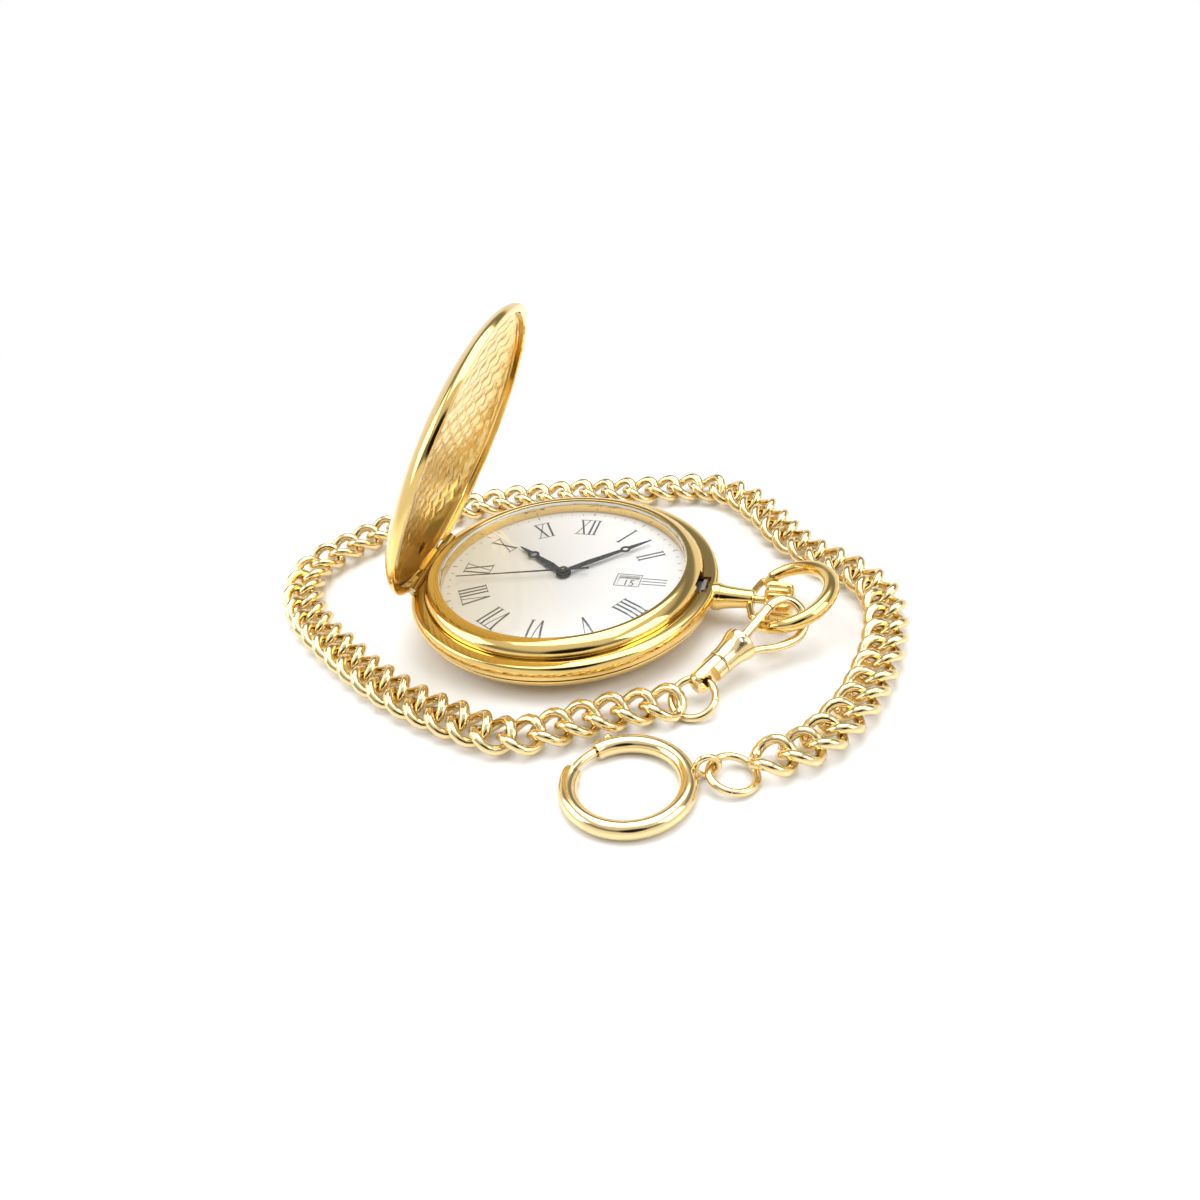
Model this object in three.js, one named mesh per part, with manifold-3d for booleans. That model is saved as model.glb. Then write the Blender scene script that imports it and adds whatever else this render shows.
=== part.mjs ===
// Hunter pocket watch with a hinged lid, quartz movement, swivel clip, curb chain and bolt ring.
// Millimetres, +Z up. The origin is the middle of the flat on the case back, +X runs out through
// the crown and +Y towards the twelve.
import * as THREE from 'three';
import { mergeVertices } from 'three/addons/utils/BufferGeometryUtils.js';
import Module from 'manifold-3d';

const wasm = await Module();
wasm.setup();

// Case, from the case back upwards
const CASE_RADIUS = 24;
const BACK_HEIGHT = 3.6;
const BAND_HEIGHT = 2.5;
const BACK_WALL = 0.8;
const BAND_WALL = 3.4;
const BEZEL_INSET = 2.35;
const BEZEL_RISE = 2;
const CRYSTAL_RADIUS = 19;
const CRYSTAL_THICKNESS = 1.1;
const LEDGE_Z = BACK_HEIGHT + BAND_HEIGHT;
const BAND_INNER = CASE_RADIUS - BAND_WALL;
const BEZEL_RADIUS = CASE_RADIUS - BEZEL_INSET;
const BEZEL_SEAT_Z = LEDGE_Z - 0.4;
const BEZEL_TOP_Z = LEDGE_Z + BEZEL_RISE;
const CRYSTAL_Z = BEZEL_TOP_Z - CRYSTAL_THICKNESS + 0.15;
const BACK_LIP = CASE_RADIUS - 2;

// Lid and its hinge
const LID_OPEN = THREE.MathUtils.degToRad(66);
const LID_INSET = 0.8;
const LID_RIM = 1.3;
const LID_WALL = 0.6;
const LID_EDGE = 0.5;
const LID_DOME = 4.5;
const LINER_WALL = 0.2;
const LID_RADIUS = CASE_RADIUS - LID_INSET;
const LID_Z = LEDGE_Z + 0.08;
const HINGE_X = -(CASE_RADIUS - 1.9);
const HINGE_Z = LEDGE_Z;
const HINGE_HALF = 8.2;
const KNUCKLE_HALF = 3;
const KNUCKLE_RADIUS = 0.7;
const PIN_RADIUS = 0.3;

// Dial, hands and movement
const MOVEMENT_RADIUS = 13;
const DIAL_THICKNESS = 0.4;
const DIAL_Z = BEZEL_SEAT_Z - 0.1 - DIAL_THICKNESS;
const DIAL_RADIUS = BAND_INNER - 1.35;
const TRACK_RADIUS = DIAL_RADIUS - 1.55;
const PLATE_TOP = DIAL_Z - 0.5;
const PLATE_BOTTOM = PLATE_TOP - 1.2;
const WHEEL_THICKNESS = 0.2;
const DATE_X = 10.3;
const DATE_SIZE = [3.4, 2.6];

// Pendant, crown and bow
const STEM_Z = 4.05;
const STEM_RADIUS = 0.3;
const SLEEVE_RADIUS = 0.6;
const NECK_END = CASE_RADIUS + 5.2;
const CROWN_RADIUS = 2.9;
const CROWN_LENGTH = 4.3;
const CROWN_X = NECK_END + 2.1;
const CROWN_PUSH = 0.6;
const YOKE_HALF = 4.8;
const YOKE_WIRE = 0.55;
const YOKE_EYE = 0.8;
const BOW_PIN = 0.45;
const BOW_X = CASE_RADIUS + 7.5;
const BOW_TILT = THREE.MathUtils.degToRad(17);
const BOW_WIRE = 1.2;
const BOW_END = 0.85;
const BOW_HALF_WIDTH = 7.5;
const BOW_CENTRE = 3.4;
const BOW_REACH = 9.8;

// Clip, rings and chain
const CLIP_FROM_BOW = [-7.07, -20.18, -1.33];
const CLIP_AZIMUTH = THREE.MathUtils.degToRad(58);
const CLIP_RISE = THREE.MathUtils.degToRad(11.6);
const CLIP_ROLL = THREE.MathUtils.degToRad(35);
const BELL_RADIUS = 2.55;
const SWIVEL_RADIUS = 1.75;
const HOOK_WIRE = 0.75;
const JUMP_RING_RADIUS = 3.1;
const JUMP_RING_WIRE = 0.55;
const BOLT_RING_AT = [19.7, -38.7];
const BOLT_RING_RADIUS = 7.75;
const BOLT_RING_TUBE = 1.25;
const CHAIN_WIDTH = 6.8;
const CHAIN_HEIGHT = 4.4;
const CHAIN_MIDDLE_Z = CHAIN_HEIGHT / 2 + 0.15;
const CORD_GAP = 0.3;

const GAP = 0.1;
const SEGMENTS = 32;

// Finishes
const finish = (color, roughness, metalness) => new THREE.MeshStandardMaterial({ color, roughness, metalness });
const GOLD = [0xe3b23c, 0.18, 1];
const PALE_GOLD = [0xe8cf8a, 0.22, 1];
const STEEL = [0xb9bcc0, 0.3, 1];
const BRASS = [0xc9a24b, 0.35, 1];
const INK = [0x3b3d42, 0.4, 0.6];
const SILVERED = [0xe9e8e6, 0.5, 0.2];
const GLASS = [0xf4f8fa, 0.05, 0];
const RUBBER = [0x1c1c1e, 0.8, 0];
const NYLON = [0xe6e4dc, 0.6, 0];
const BOARD = [0x1d5b3a, 0.6, 0];
const COPPER = [0xb0623a, 0.4, 0.8];

// ---------- shaping helpers ----------

function solid(geometry) {
  const bare = geometry.clone();
  bare.deleteAttribute('normal');
  bare.deleteAttribute('uv');
  const merged = mergeVertices(bare, 1e-4);
  const index = merged.index.array;
  const triangles = [];
  for (let i = 0; i < index.length; i += 3) {
    const [a, b, c] = [index[i], index[i + 1], index[i + 2]];
    if (a !== b && b !== c && c !== a) triangles.push(a, b, c);
  }
  const vertProperties = Float32Array.from(merged.attributes.position.array);
  return new wasm.Manifold(new wasm.Mesh({ numProp: 3, vertProperties, triVerts: Uint32Array.from(triangles) }));
}

function geometryOf(body) {
  const { vertProperties, triVerts } = body.getMesh();
  const geometry = new THREE.BufferGeometry();
  geometry.setAttribute('position', new THREE.BufferAttribute(Float32Array.from(vertProperties), 3));
  geometry.setIndex(new THREE.BufferAttribute(Uint32Array.from(triVerts), 1));
  geometry.computeVertexNormals();
  return geometry;
}

const join = (...bodies) => bodies.reduce((all, body) => all.add(body));

// A profile of [radius, height] points turned about Z, walked anticlockwise
function turned(profile, segments = SEGMENTS) {
  const points = profile.map(([r, z]) => new THREE.Vector2(r, z));
  if (profile[0][0] > 0) points.push(points[0].clone());
  return solid(new THREE.LatheGeometry(points, segments).rotateX(Math.PI / 2));
}

const ring = (inner, outer, low, high, segments = SEGMENTS) =>
  turned([[inner, low], [outer, low], [outer, high], [inner, high]], segments);

const disc = (radius, low, high, segments = SEGMENTS) =>
  turned([[0, low], [radius, low], [radius, high], [0, high]], segments);

const moved = (body, x, y, z) => body.translate([x, y, z]);

function box(x, y, z) {
  const size = [x, y, z].map(([low, high]) => high - low);
  const geometry = new THREE.BoxGeometry(...size);
  return solid(geometry.translate(...[x, y, z].map(([low, high]) => (low + high) / 2)));
}

function prism(points, low, high) {
  const shape = new THREE.Shape(points.map(([x, y]) => new THREE.Vector2(x, y)));
  const geometry = new THREE.ExtrudeGeometry(shape, { depth: high - low, bevelEnabled: false });
  return solid(geometry.translate(0, 0, low));
}

function rod(radius, from, to, segments = 16) {
  const a = new THREE.Vector3(...from);
  const b = new THREE.Vector3(...to);
  const geometry = new THREE.CylinderGeometry(radius, radius, a.distanceTo(b), segments);
  const turn = new THREE.Quaternion().setFromUnitVectors(new THREE.Vector3(0, 1, 0), b.clone().sub(a).normalize());
  geometry.applyQuaternion(turn).translate(...a.clone().add(b).multiplyScalar(0.5).toArray());
  return solid(geometry);
}

// A round bar along a curve, whose radius follows a function of the way along it
function tapered(curve, radius, steps, sides = 12) {
  const frames = curve.computeFrenetFrames(steps, false);
  const position = [];
  const index = [];
  for (let i = 0; i <= steps; i++) {
    const at = curve.getPointAt(i / steps);
    for (let j = 0; j < sides; j++) {
      const angle = (j / sides) * 2 * Math.PI;
      const out = frames.normals[i].clone().multiplyScalar(Math.cos(angle));
      out.addScaledVector(frames.binormals[i], Math.sin(angle));
      position.push(...at.clone().addScaledVector(out, radius(i / steps)).toArray());
    }
  }
  for (let i = 0; i < steps; i++) {
    for (let j = 0; j < sides; j++) {
      const a = i * sides + j;
      const b = i * sides + ((j + 1) % sides);
      index.push(a, b, a + sides, b, b + sides, a + sides);
    }
  }
  const last = steps * sides;
  for (let j = 1; j < sides - 1; j++) index.push(0, j + 1, j, last, last + j, last + j + 1);
  const geometry = new THREE.BufferGeometry();
  geometry.setAttribute('position', new THREE.Float32BufferAttribute(position, 3));
  geometry.setIndex(index);
  return solid(geometry);
}

const smooth = (points) => new THREE.CatmullRomCurve3(points.map((p) => new THREE.Vector3(...p)), false, 'centripetal');

// A wheel with square-topped teeth, bored for its arbor
function gear(teeth, tip, low, high, bore) {
  const root = tip - 0.22;
  const points = [];
  for (let i = 0; i < teeth; i++) {
    for (const [share, radius] of [[0, root], [0.3, tip], [0.6, tip], [0.9, root]]) {
      const angle = ((i + share) / teeth) * 2 * Math.PI;
      points.push([radius * Math.cos(angle), radius * Math.sin(angle)]);
    }
  }
  const wheel = prism(points, low, high);
  return bore ? wheel.subtract(disc(bore, low - 1, high + 1, 16)) : wheel;
}

const watch = new THREE.Group();

function piece(name, body, look, parent = watch) {
  const mesh = new THREE.Mesh(geometryOf(body), finish(...look));
  mesh.name = name;
  parent.add(mesh);
  return mesh;
}

// ---------- case ----------

function caseBack() {
  const R = CASE_RADIUS;
  return turned([
    [0, 0], [R - 11, 0], [R - 6.5, 0.35], [R - 3.2, 1.15], [R - 1.2, 2.2], [R - 0.5, BACK_HEIGHT - 0.4],
    [R - 0.45, BACK_HEIGHT], [BACK_LIP + GAP, BACK_HEIGHT], [BACK_LIP + GAP, BACK_HEIGHT - 0.75],
    [BACK_LIP - 0.8, BACK_HEIGHT - 0.75], [R - 3.7, 1.2 + BACK_WALL], [R - 7, 0.45 + BACK_WALL],
    [R - 11.5, BACK_WALL], [0, BACK_WALL],
  ]).subtract(rod(SLEEVE_RADIUS + 2 * GAP, [BACK_LIP - 1, 0, STEM_Z], [R + 1, 0, STEM_Z], 24));
}

const pocketY = 2;

function caseBand() {
  const R = CASE_RADIUS;
  const foot = BACK_HEIGHT + 0.05;
  let body = turned([
    [BAND_INNER, BACK_HEIGHT - 0.5], [BACK_LIP, BACK_HEIGHT - 0.5], [BACK_LIP, foot], [R - 0.4, foot],
    [R - 0.1, foot + 0.45], [R, foot + 1.1], [R - 0.12, foot + 1.75], [R - 0.45, LEDGE_Z - 0.12],
    [R - 0.7, LEDGE_Z], [BEZEL_RADIUS + 0.05, LEDGE_Z], [BEZEL_RADIUS + 0.05, BEZEL_SEAT_Z],
    [BAND_INNER, BEZEL_SEAT_Z],
  ]);
  body = body.subtract(rod(SLEEVE_RADIUS + GAP, [BAND_INNER - 1, 0, STEM_Z], [R + 1, 0, STEM_Z], 24));
  body = body.subtract(box([BEZEL_RADIUS - 0.65, R - 1.1], [-pocketY, pocketY], [LEDGE_Z - 1, LEDGE_Z + 1]));
  body = body.subtract(box([BAND_INNER - 1, R - 2], [-pocketY, pocketY], [LEDGE_Z - 1.1, LEDGE_Z + 1]));
  body = body.subtract(box([-R - 1, HINGE_X - KNUCKLE_RADIUS - 0.05], [-HINGE_HALF - 0.4, HINGE_HALF + 0.4],
    [LEDGE_Z - 1.1, LEDGE_Z + 1]));
  const seat = (half) => rod(KNUCKLE_RADIUS + 0.15, [HINGE_X, -half, HINGE_Z], [HINGE_X, half, HINGE_Z], 24);
  body = body.subtract(seat(KNUCKLE_HALF + GAP));
  for (const side of [-1, 1]) {
    const from = [HINGE_X, side * (KNUCKLE_HALF + GAP), HINGE_Z];
    body = body.add(rod(KNUCKLE_RADIUS, from, [HINGE_X, side * HINGE_HALF, HINGE_Z], 24));
  }
  return body.subtract(rod(PIN_RADIUS + 0.05, [HINGE_X, -HINGE_HALF - 1, HINGE_Z], [HINGE_X, HINGE_HALF + 1, HINGE_Z]));
}

function bezel() {
  const top = BEZEL_TOP_Z;
  const glass = CRYSTAL_RADIUS;
  const R = BEZEL_RADIUS;
  const body = turned([
    [glass - 0.15, BEZEL_SEAT_Z], [R, BEZEL_SEAT_Z], [R, LEDGE_Z + 0.3], [R - 0.15, LEDGE_Z + 0.75],
    [R - 0.65, top - 0.7], [R - 1.35, top - 0.18], [glass + 0.75, top], [glass + 0.3, top],
    [glass + 0.12, top - 0.1], [glass + 0.4, top - 0.15], [glass + 0.4, CRYSTAL_Z], [glass - 0.15, CRYSTAL_Z],
  ]);
  const notch = box([R - 0.9, R + 1], [-pocketY, pocketY], [BEZEL_SEAT_Z - 1, LEDGE_Z + 1.1]);
  const flat = box([-R - 1, HINGE_X + KNUCKLE_RADIUS + 0.12], [-HINGE_HALF - 0.2, HINGE_HALF + 0.2],
    [BEZEL_SEAT_Z - 1, HINGE_Z + KNUCKLE_RADIUS + 0.15]);
  return body.subtract(notch).subtract(flat);
}

function crystal() {
  const top = CRYSTAL_Z + CRYSTAL_THICKNESS;
  const R = CRYSTAL_RADIUS;
  return turned([[0, CRYSTAL_Z], [R, CRYSTAL_Z], [R, top - 0.35], [R - 0.5, top - 0.05], [R - 1.2, top], [0, top]]);
}

piece('case_back', caseBack(), GOLD);
piece('case_band', caseBand(), GOLD);
piece('bezel', bezel(), GOLD);
piece('crystal', crystal(), GLASS);
const sealTop = CRYSTAL_Z + CRYSTAL_THICKNESS - 0.45;
piece('crystal_seal', ring(CRYSTAL_RADIUS + 0.03, CRYSTAL_RADIUS + 0.37, CRYSTAL_Z, sealTop), NYLON);
piece('back_seal', ring(BAND_INNER + 0.65, BACK_LIP - 0.1, BACK_HEIGHT - 0.75, BACK_HEIGHT - 0.5), RUBBER);

// ---------- lid, drawn closed about its hinge and swung open ----------

const lid = new THREE.Group();
lid.position.set(HINGE_X, 0, HINGE_Z);
lid.rotation.y = -LID_OPEN;
watch.add(lid);

// Heights over the hinge of a dome that starts at the given rim radius
function dome(radius, base, rise, steps) {
  const points = [];
  for (let i = 0; i <= steps; i++) {
    const angle = (i / steps) * (Math.PI / 2);
    points.push([radius * Math.cos(angle), base + rise * Math.sin(angle)]);
  }
  points[steps][0] = 0;
  return points;
}

function lidShell() {
  const low = LID_Z;
  const inner = LID_RADIUS - LID_RIM;
  let body = turned([
    ...dome(inner, low + LID_EDGE + 0.35, LID_DOME - LID_WALL - 0.35, 5).reverse(),
    [inner, low + 0.15], [inner + 0.15, low], [LID_RADIUS - 0.2, low], [LID_RADIUS, low + 0.2],
    ...dome(LID_RADIUS, low + LID_EDGE, LID_DOME, 7),
  ]);
  const clear = KNUCKLE_RADIUS + 0.15;
  body = body.subtract(box([-LID_RADIUS - 1, HINGE_X + clear], [-HINGE_HALF - 0.2, HINGE_HALF + 0.2],
    [LID_Z - 1, HINGE_Z + clear]));
  const leaf = prism([[-0.35, 0], [0.6, 0], [0.6, 1.5], [5.4, 3.2], [5.4, 3.55], [2.5, 2.75], [-0.35, 1.35]],
    -KNUCKLE_HALF, KNUCKLE_HALF);
  const knuckle = rod(KNUCKLE_RADIUS, [0, -KNUCKLE_HALF, 0], [0, KNUCKLE_HALF, 0], 24);
  const hung = leaf.rotate([90, 0, 0]).add(knuckle).translate([HINGE_X, 0, HINGE_Z]);
  body = body.add(hung);
  const bore = rod(PIN_RADIUS + 0.05, [HINGE_X, -HINGE_HALF, HINGE_Z], [HINGE_X, HINGE_HALF, HINGE_Z]);
  return body.subtract(bore).translate([-HINGE_X, 0, -HINGE_Z]);
}

piece('lid_shell', lidShell(), GOLD, lid);

function lidLiner() {
  const low = LID_Z + LID_EDGE + 0.35;
  const outer = LID_RADIUS - LID_RIM - GAP;
  const rise = LID_DOME - LID_WALL - 0.35 - GAP;
  const keep = ([r]) => r < outer * 0.985;
  const body = turned([
    ...dome(outer - LINER_WALL, low, rise - LINER_WALL, 5).filter(keep).reverse(),
    ...dome(outer, low, rise, 5).filter(keep),
  ]);
  const leaf = box([-CASE_RADIUS, HINGE_X + 5.6], [-KNUCKLE_HALF - 0.2, KNUCKLE_HALF + 0.2], [0, 2 * CASE_RADIUS]);
  return body.subtract(leaf).translate([-HINGE_X, 0, -HINGE_Z]);
}

piece('lid_liner', lidLiner(), GOLD, lid);
piece('hinge_pin', rod(PIN_RADIUS, [HINGE_X, -HINGE_HALF, HINGE_Z], [HINGE_X, HINGE_HALF, HINGE_Z]), STEEL);

// A strip of spring steel bent round the inside of the case, between two angles in degrees
function bentStrip(radius, thickness, low, high, from, to) {
  const steps = 14;
  const at = (r, i) => {
    const angle = THREE.MathUtils.degToRad(from + ((to - from) * i) / steps);
    return [r * Math.cos(angle), r * Math.sin(angle)];
  };
  const outer = Array.from({ length: steps + 1 }, (_, i) => at(radius, i));
  const inner = Array.from({ length: steps + 1 }, (_, i) => at(radius - thickness, steps - i));
  return prism([...outer, ...inner], low, high);
}

// The lid spring ends under the lid's knuckle, the lock spring beside the latch
const SPRING_SPAN = [DIAL_Z - 1, BEZEL_SEAT_Z - 0.12];
piece('lid_spring', bentStrip(BAND_INNER - GAP, 0.3, ...SPRING_SPAN, 130, 178), STEEL);
piece('lock_spring', bentStrip(BAND_INNER - GAP, 0.3, ...SPRING_SPAN, -58, -6.5), STEEL);

// Latch: a nose in the window of the ledge, an arm through the band and a fork over the stem
const FORK_X = BAND_INNER - 0.15;

function latch() {
  const arm = [DIAL_Z - 0.05, BEZEL_SEAT_Z - 0.12];
  const side = pocketY - 0.6;
  let body = box([FORK_X - 0.4, BEZEL_RADIUS + 0.75], [-side, side], arm);
  body = body.add(box([BEZEL_RADIUS + 0.25, BEZEL_RADIUS + 0.75], [-side, side], [arm[0], LEDGE_Z - 0.1]));
  body = body.add(box([FORK_X - 0.4, FORK_X], [-side, side], [STEM_Z - 0.9, arm[1]]));
  return body.subtract(box([FORK_X - 1, FORK_X + 1], [-STEM_RADIUS - GAP, STEM_RADIUS + GAP], [0, STEM_Z + STEM_RADIUS + GAP]));
}

piece('catch_latch', latch(), STEEL);

// ---------- dial, date and hands ----------

function spacer() {
  const inner = MOVEMENT_RADIUS + GAP;
  let body = turned([
    [inner, PLATE_BOTTOM - 1.5], [inner + 3.4, PLATE_BOTTOM - 1.5], [BAND_INNER - 0.6, BACK_HEIGHT - 0.3],
    [BAND_INNER - 0.6, DIAL_Z], [inner, DIAL_Z],
  ]);
  return body.subtract(box([0, CASE_RADIUS], [-1.7, 1.7], [STEM_Z - 1.1, DIAL_Z + 1]));
}

function dial() {
  const low = DIAL_Z;
  const window = box([DATE_X - DATE_SIZE[0] / 2, DATE_X + DATE_SIZE[0] / 2], [-DATE_SIZE[1] / 2, DATE_SIZE[1] / 2],
    [low - 1, low + 2]);
  return disc(DIAL_RADIUS, low, low + DIAL_THICKNESS).subtract(disc(0.95, low - 1, low + 2, 24)).subtract(window);
}

piece('movement_spacer', spacer(), NYLON);
piece('dial', dial(), SILVERED);

const DIAL_TOP = DIAL_Z + DIAL_THICKNESS;
const HOUR_Z = DIAL_TOP + 0.35;
const MINUTE_Z = HOUR_Z + 0.36;
const SECOND_Z = MINUTE_Z + 0.34;

// A tapering blade with a ring near the tip, pointing along +X, then turned to its place on the dial
function pierced(length, width, ringAt, ringRadius, low, high) {
  const blade = prism([[0, -width * 0.3], [length * 0.3, -width / 2], [ringAt, -width * 0.25], [ringAt, width * 0.25],
    [length * 0.3, width / 2], [0, width * 0.3]], low, high);
  const tip = prism([[ringAt, -width * 0.4], [length, -0.06], [length, 0.06], [ringAt, width * 0.4]], low, high);
  const eye = moved(disc(ringRadius, low, high, 16), ringAt, 0, 0);
  const hole = moved(disc(ringRadius * 0.55, low - 1, high + 1, 12), ringAt, 0, 0);
  return join(blade, tip, eye).subtract(hole);
}

const hourLength = TRACK_RADIUS * 0.63;
const minuteLength = TRACK_RADIUS * 0.88;
const secondLength = TRACK_RADIUS * 0.95;

function hand(blade, boss, bore, low, high, angle) {
  const whole = blade.add(disc(boss, low, high, 24)).subtract(disc(bore, low - 1, high + 1, 16));
  return whole.rotate([0, 0, angle]);
}

const HANDS_ANGLE = { hour: 145, minute: 42, second: -166 };
const hourBlade = pierced(hourLength, 1.3, hourLength * 0.69, 0.95, HOUR_Z, HOUR_Z + 0.15);
const minuteBlade = pierced(minuteLength, 1.1, minuteLength * 0.7, 0.8, MINUTE_Z, MINUTE_Z + 0.15);
const secondBlade = prism([[-4, -0.2], [secondLength, -0.07], [secondLength, 0.07], [-4, 0.2]], SECOND_Z, SECOND_Z + 0.1);

piece('hour_hand', hand(hourBlade, 1.2, 0.77, HOUR_Z, HOUR_Z + 0.15, HANDS_ANGLE.hour), INK);
piece('minute_hand', hand(minuteBlade, 1.0, 0.47, MINUTE_Z, MINUTE_Z + 0.15, HANDS_ANGLE.minute), INK);
piece('second_hand', hand(secondBlade, 0.75, 0.22, SECOND_Z, SECOND_Z + 0.15, HANDS_ANGLE.second), INK);

function dateRing() {
  const low = PLATE_TOP + 0.08;
  return ring(MOVEMENT_RADIUS - 5, MOVEMENT_RADIUS - 0.4, low, low + 0.3, 62);
}

piece('date_ring', dateRing(), NYLON);

// ---------- movement ----------

const WHEEL_GAP = 0.12;
const DIAL_SIDE = [PLATE_TOP + 0.08, PLATE_TOP + 0.08 + WHEEL_THICKNESS];

function mainPlate() {
  const body = disc(MOVEMENT_RADIUS, PLATE_BOTTOM, PLATE_TOP);
  const stemway = box([5, MOVEMENT_RADIUS + 1], [-1.3, 1.3], [STEM_Z - 0.9, PLATE_TOP + 1]);
  return body.subtract(disc(0.55, 0, 10, 24)).subtract(stemway);
}

piece('main_plate', mainPlate(), BRASS);

// Dial side: the hour wheel and its pipe, and the minute wheel that gears it down
const pipe = (bore, outer, low, high) => ring(bore, outer, low, high, 16);
const hourWheel = gear(20, 3.2, ...DIAL_SIDE, 0.6).add(pipe(0.6, 0.75, DIAL_SIDE[0], HOUR_Z + 0.25));
piece('hour_wheel', hourWheel, BRASS);
const MINUTE_WHEEL_AT = [0, 5.3];
piece('minute_wheel', moved(gear(14, 1.95, ...DIAL_SIDE, 0), ...MINUTE_WHEEL_AT, 0), BRASS);

// Back side, from the main plate down: centre wheel, third wheel, seconds wheel, intermediate, rotor
const level = (n) => PLATE_BOTTOM - 0.12 - n * (WHEEL_THICKNESS + WHEEL_GAP) - WHEEL_THICKNESS;
const wheelSpan = (n) => [level(n), level(n) + WHEEL_THICKNESS];
const THIRD_AT = [-2.2, 2.2];
const INTERMEDIATE_AT = [2.9, -2.7];
const ROTOR_AT = [6.1, -5.2];

const centreWheel = gear(20, 2.6, ...wheelSpan(0), 0.3).add(pipe(0.3, 0.45, wheelSpan(0)[0], MINUTE_Z + 0.22));
piece('centre_wheel', centreWheel, BRASS);
const thirdWheel = moved(gear(18, 2.5, ...wheelSpan(1), 0).add(disc(0.3, level(1), level(0) + WHEEL_THICKNESS, 12)),
  ...THIRD_AT, 0);
piece('third_wheel', thirdWheel, BRASS);
const secondsWheel = gear(16, 2.3, ...wheelSpan(2), 0).add(disc(0.2, level(2), SECOND_Z + 0.2, 16));
piece('seconds_wheel', secondsWheel, BRASS);
piece('intermediate_wheel', moved(gear(14, 1.6, ...wheelSpan(3), 0), ...INTERMEDIATE_AT, 0), NYLON);
const rotor = disc(0.9, level(4) - 0.1, level(2), 24).add(disc(0.35, level(2), PLATE_BOTTOM - 0.1, 12));
piece('rotor', moved(rotor, ...ROTOR_AT, 0), STEEL);

const trainBridge = prism([[-5.2, 5], [-5.2, -1.5], [-1, -5.4], [3.9, -4.6], [3.9, 5]], level(3) - 0.55, level(3) - 0.2);
piece('train_bridge', trainBridge, BRASS);

function stator() {
  const [x, y] = ROTOR_AT;
  const plate = prism([[x - 1.8, y - 3.2], [x + 1.8, y - 3.2], [x + 1.8, y + 1.6], [x - 1.8, y + 1.6]],
    level(3), level(3) + 0.25);
  return plate.subtract(moved(disc(1.1, 0, 10, 24), x, y, 0));
}

piece('stator', stator(), STEEL);
const COIL = { y: -10.2, z: level(3) + 0.2, radius: 0.9, half: 4.2 };
const coil = rod(COIL.radius, [-COIL.half, COIL.y, COIL.z], [COIL.half, COIL.y, COIL.z], 20);
piece('coil', coil, COPPER);
const board = prism([[4.6, 2], [9.7, 2], [9.3, 7.6], [4.6, 11.2]], PLATE_BOTTOM - 0.5, PLATE_BOTTOM - 0.1);
piece('circuit_board', board, BOARD);
const quartz = rod(0.75, [6.2, 3.6, PLATE_BOTTOM - 1.4], [6.2, 9, PLATE_BOTTOM - 1.4], 16);
piece('quartz_crystal', quartz, STEEL);
const BATTERY = { at: [-7.4, -4.6], radius: 3.4, height: 1.65 };
const battery = disc(BATTERY.radius, PLATE_BOTTOM - 0.2 - BATTERY.height, PLATE_BOTTOM - 0.2, 40);
piece('battery', moved(battery, ...BATTERY.at, 0), STEEL);
const clipZ = PLATE_BOTTOM - 0.2 - BATTERY.height - 0.05;
const batteryClip = prism([[-11, -5.4], [-3.4, -5.4], [-3.4, -3.8], [-11, -3.8]], clipZ - 0.2, clipZ);
piece('battery_clip', batteryClip, STEEL);

// ---------- pendant, crown and stem ----------

const alongX = (body, x = 0, z = STEM_Z) => body.rotate([0, 90, 0]).translate([x, 0, z]);

function pendant() {
  const foot = CASE_RADIUS - 0.6;
  let body = alongX(turned([
    [0, foot], [2.1, foot], [2.1, CASE_RADIUS + 0.45], [1.85, CASE_RADIUS + 0.6], [1.45, NECK_END],
    [1.45, NECK_END + 0.5], [0, NECK_END + 0.5],
  ], 24));
  body = body.subtract(disc(CASE_RADIUS + 0.08, -1, 2 * LEDGE_Z));
  const yoke = (side) => [
    [BOW_X, side * YOKE_HALF, STEM_Z], [BOW_X - 1.2, side * YOKE_HALF, STEM_Z],
    [NECK_END + 0.5, side * 3.5, STEM_Z], [NECK_END, side * 1.6, STEM_Z],
  ];
  const path = smooth([...yoke(-1), [NECK_END, 0, STEM_Z], ...yoke(1).reverse()]);
  body = body.add(tapered(path, () => YOKE_WIRE, 16, 8));
  for (const side of [-1, 1]) {
    const eye = (half) => [[BOW_X, side * (YOKE_HALF - half), STEM_Z], [BOW_X, side * (YOKE_HALF + half), STEM_Z]];
    body = body.add(rod(1.1, ...eye(YOKE_EYE / 2), 16)).subtract(rod(BOW_PIN + 0.08, ...eye(1), 12));
  }
  return body.subtract(rod(SLEEVE_RADIUS + GAP, [foot - 1, 0, STEM_Z], [CROWN_X, 0, STEM_Z], 20));
}

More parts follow.
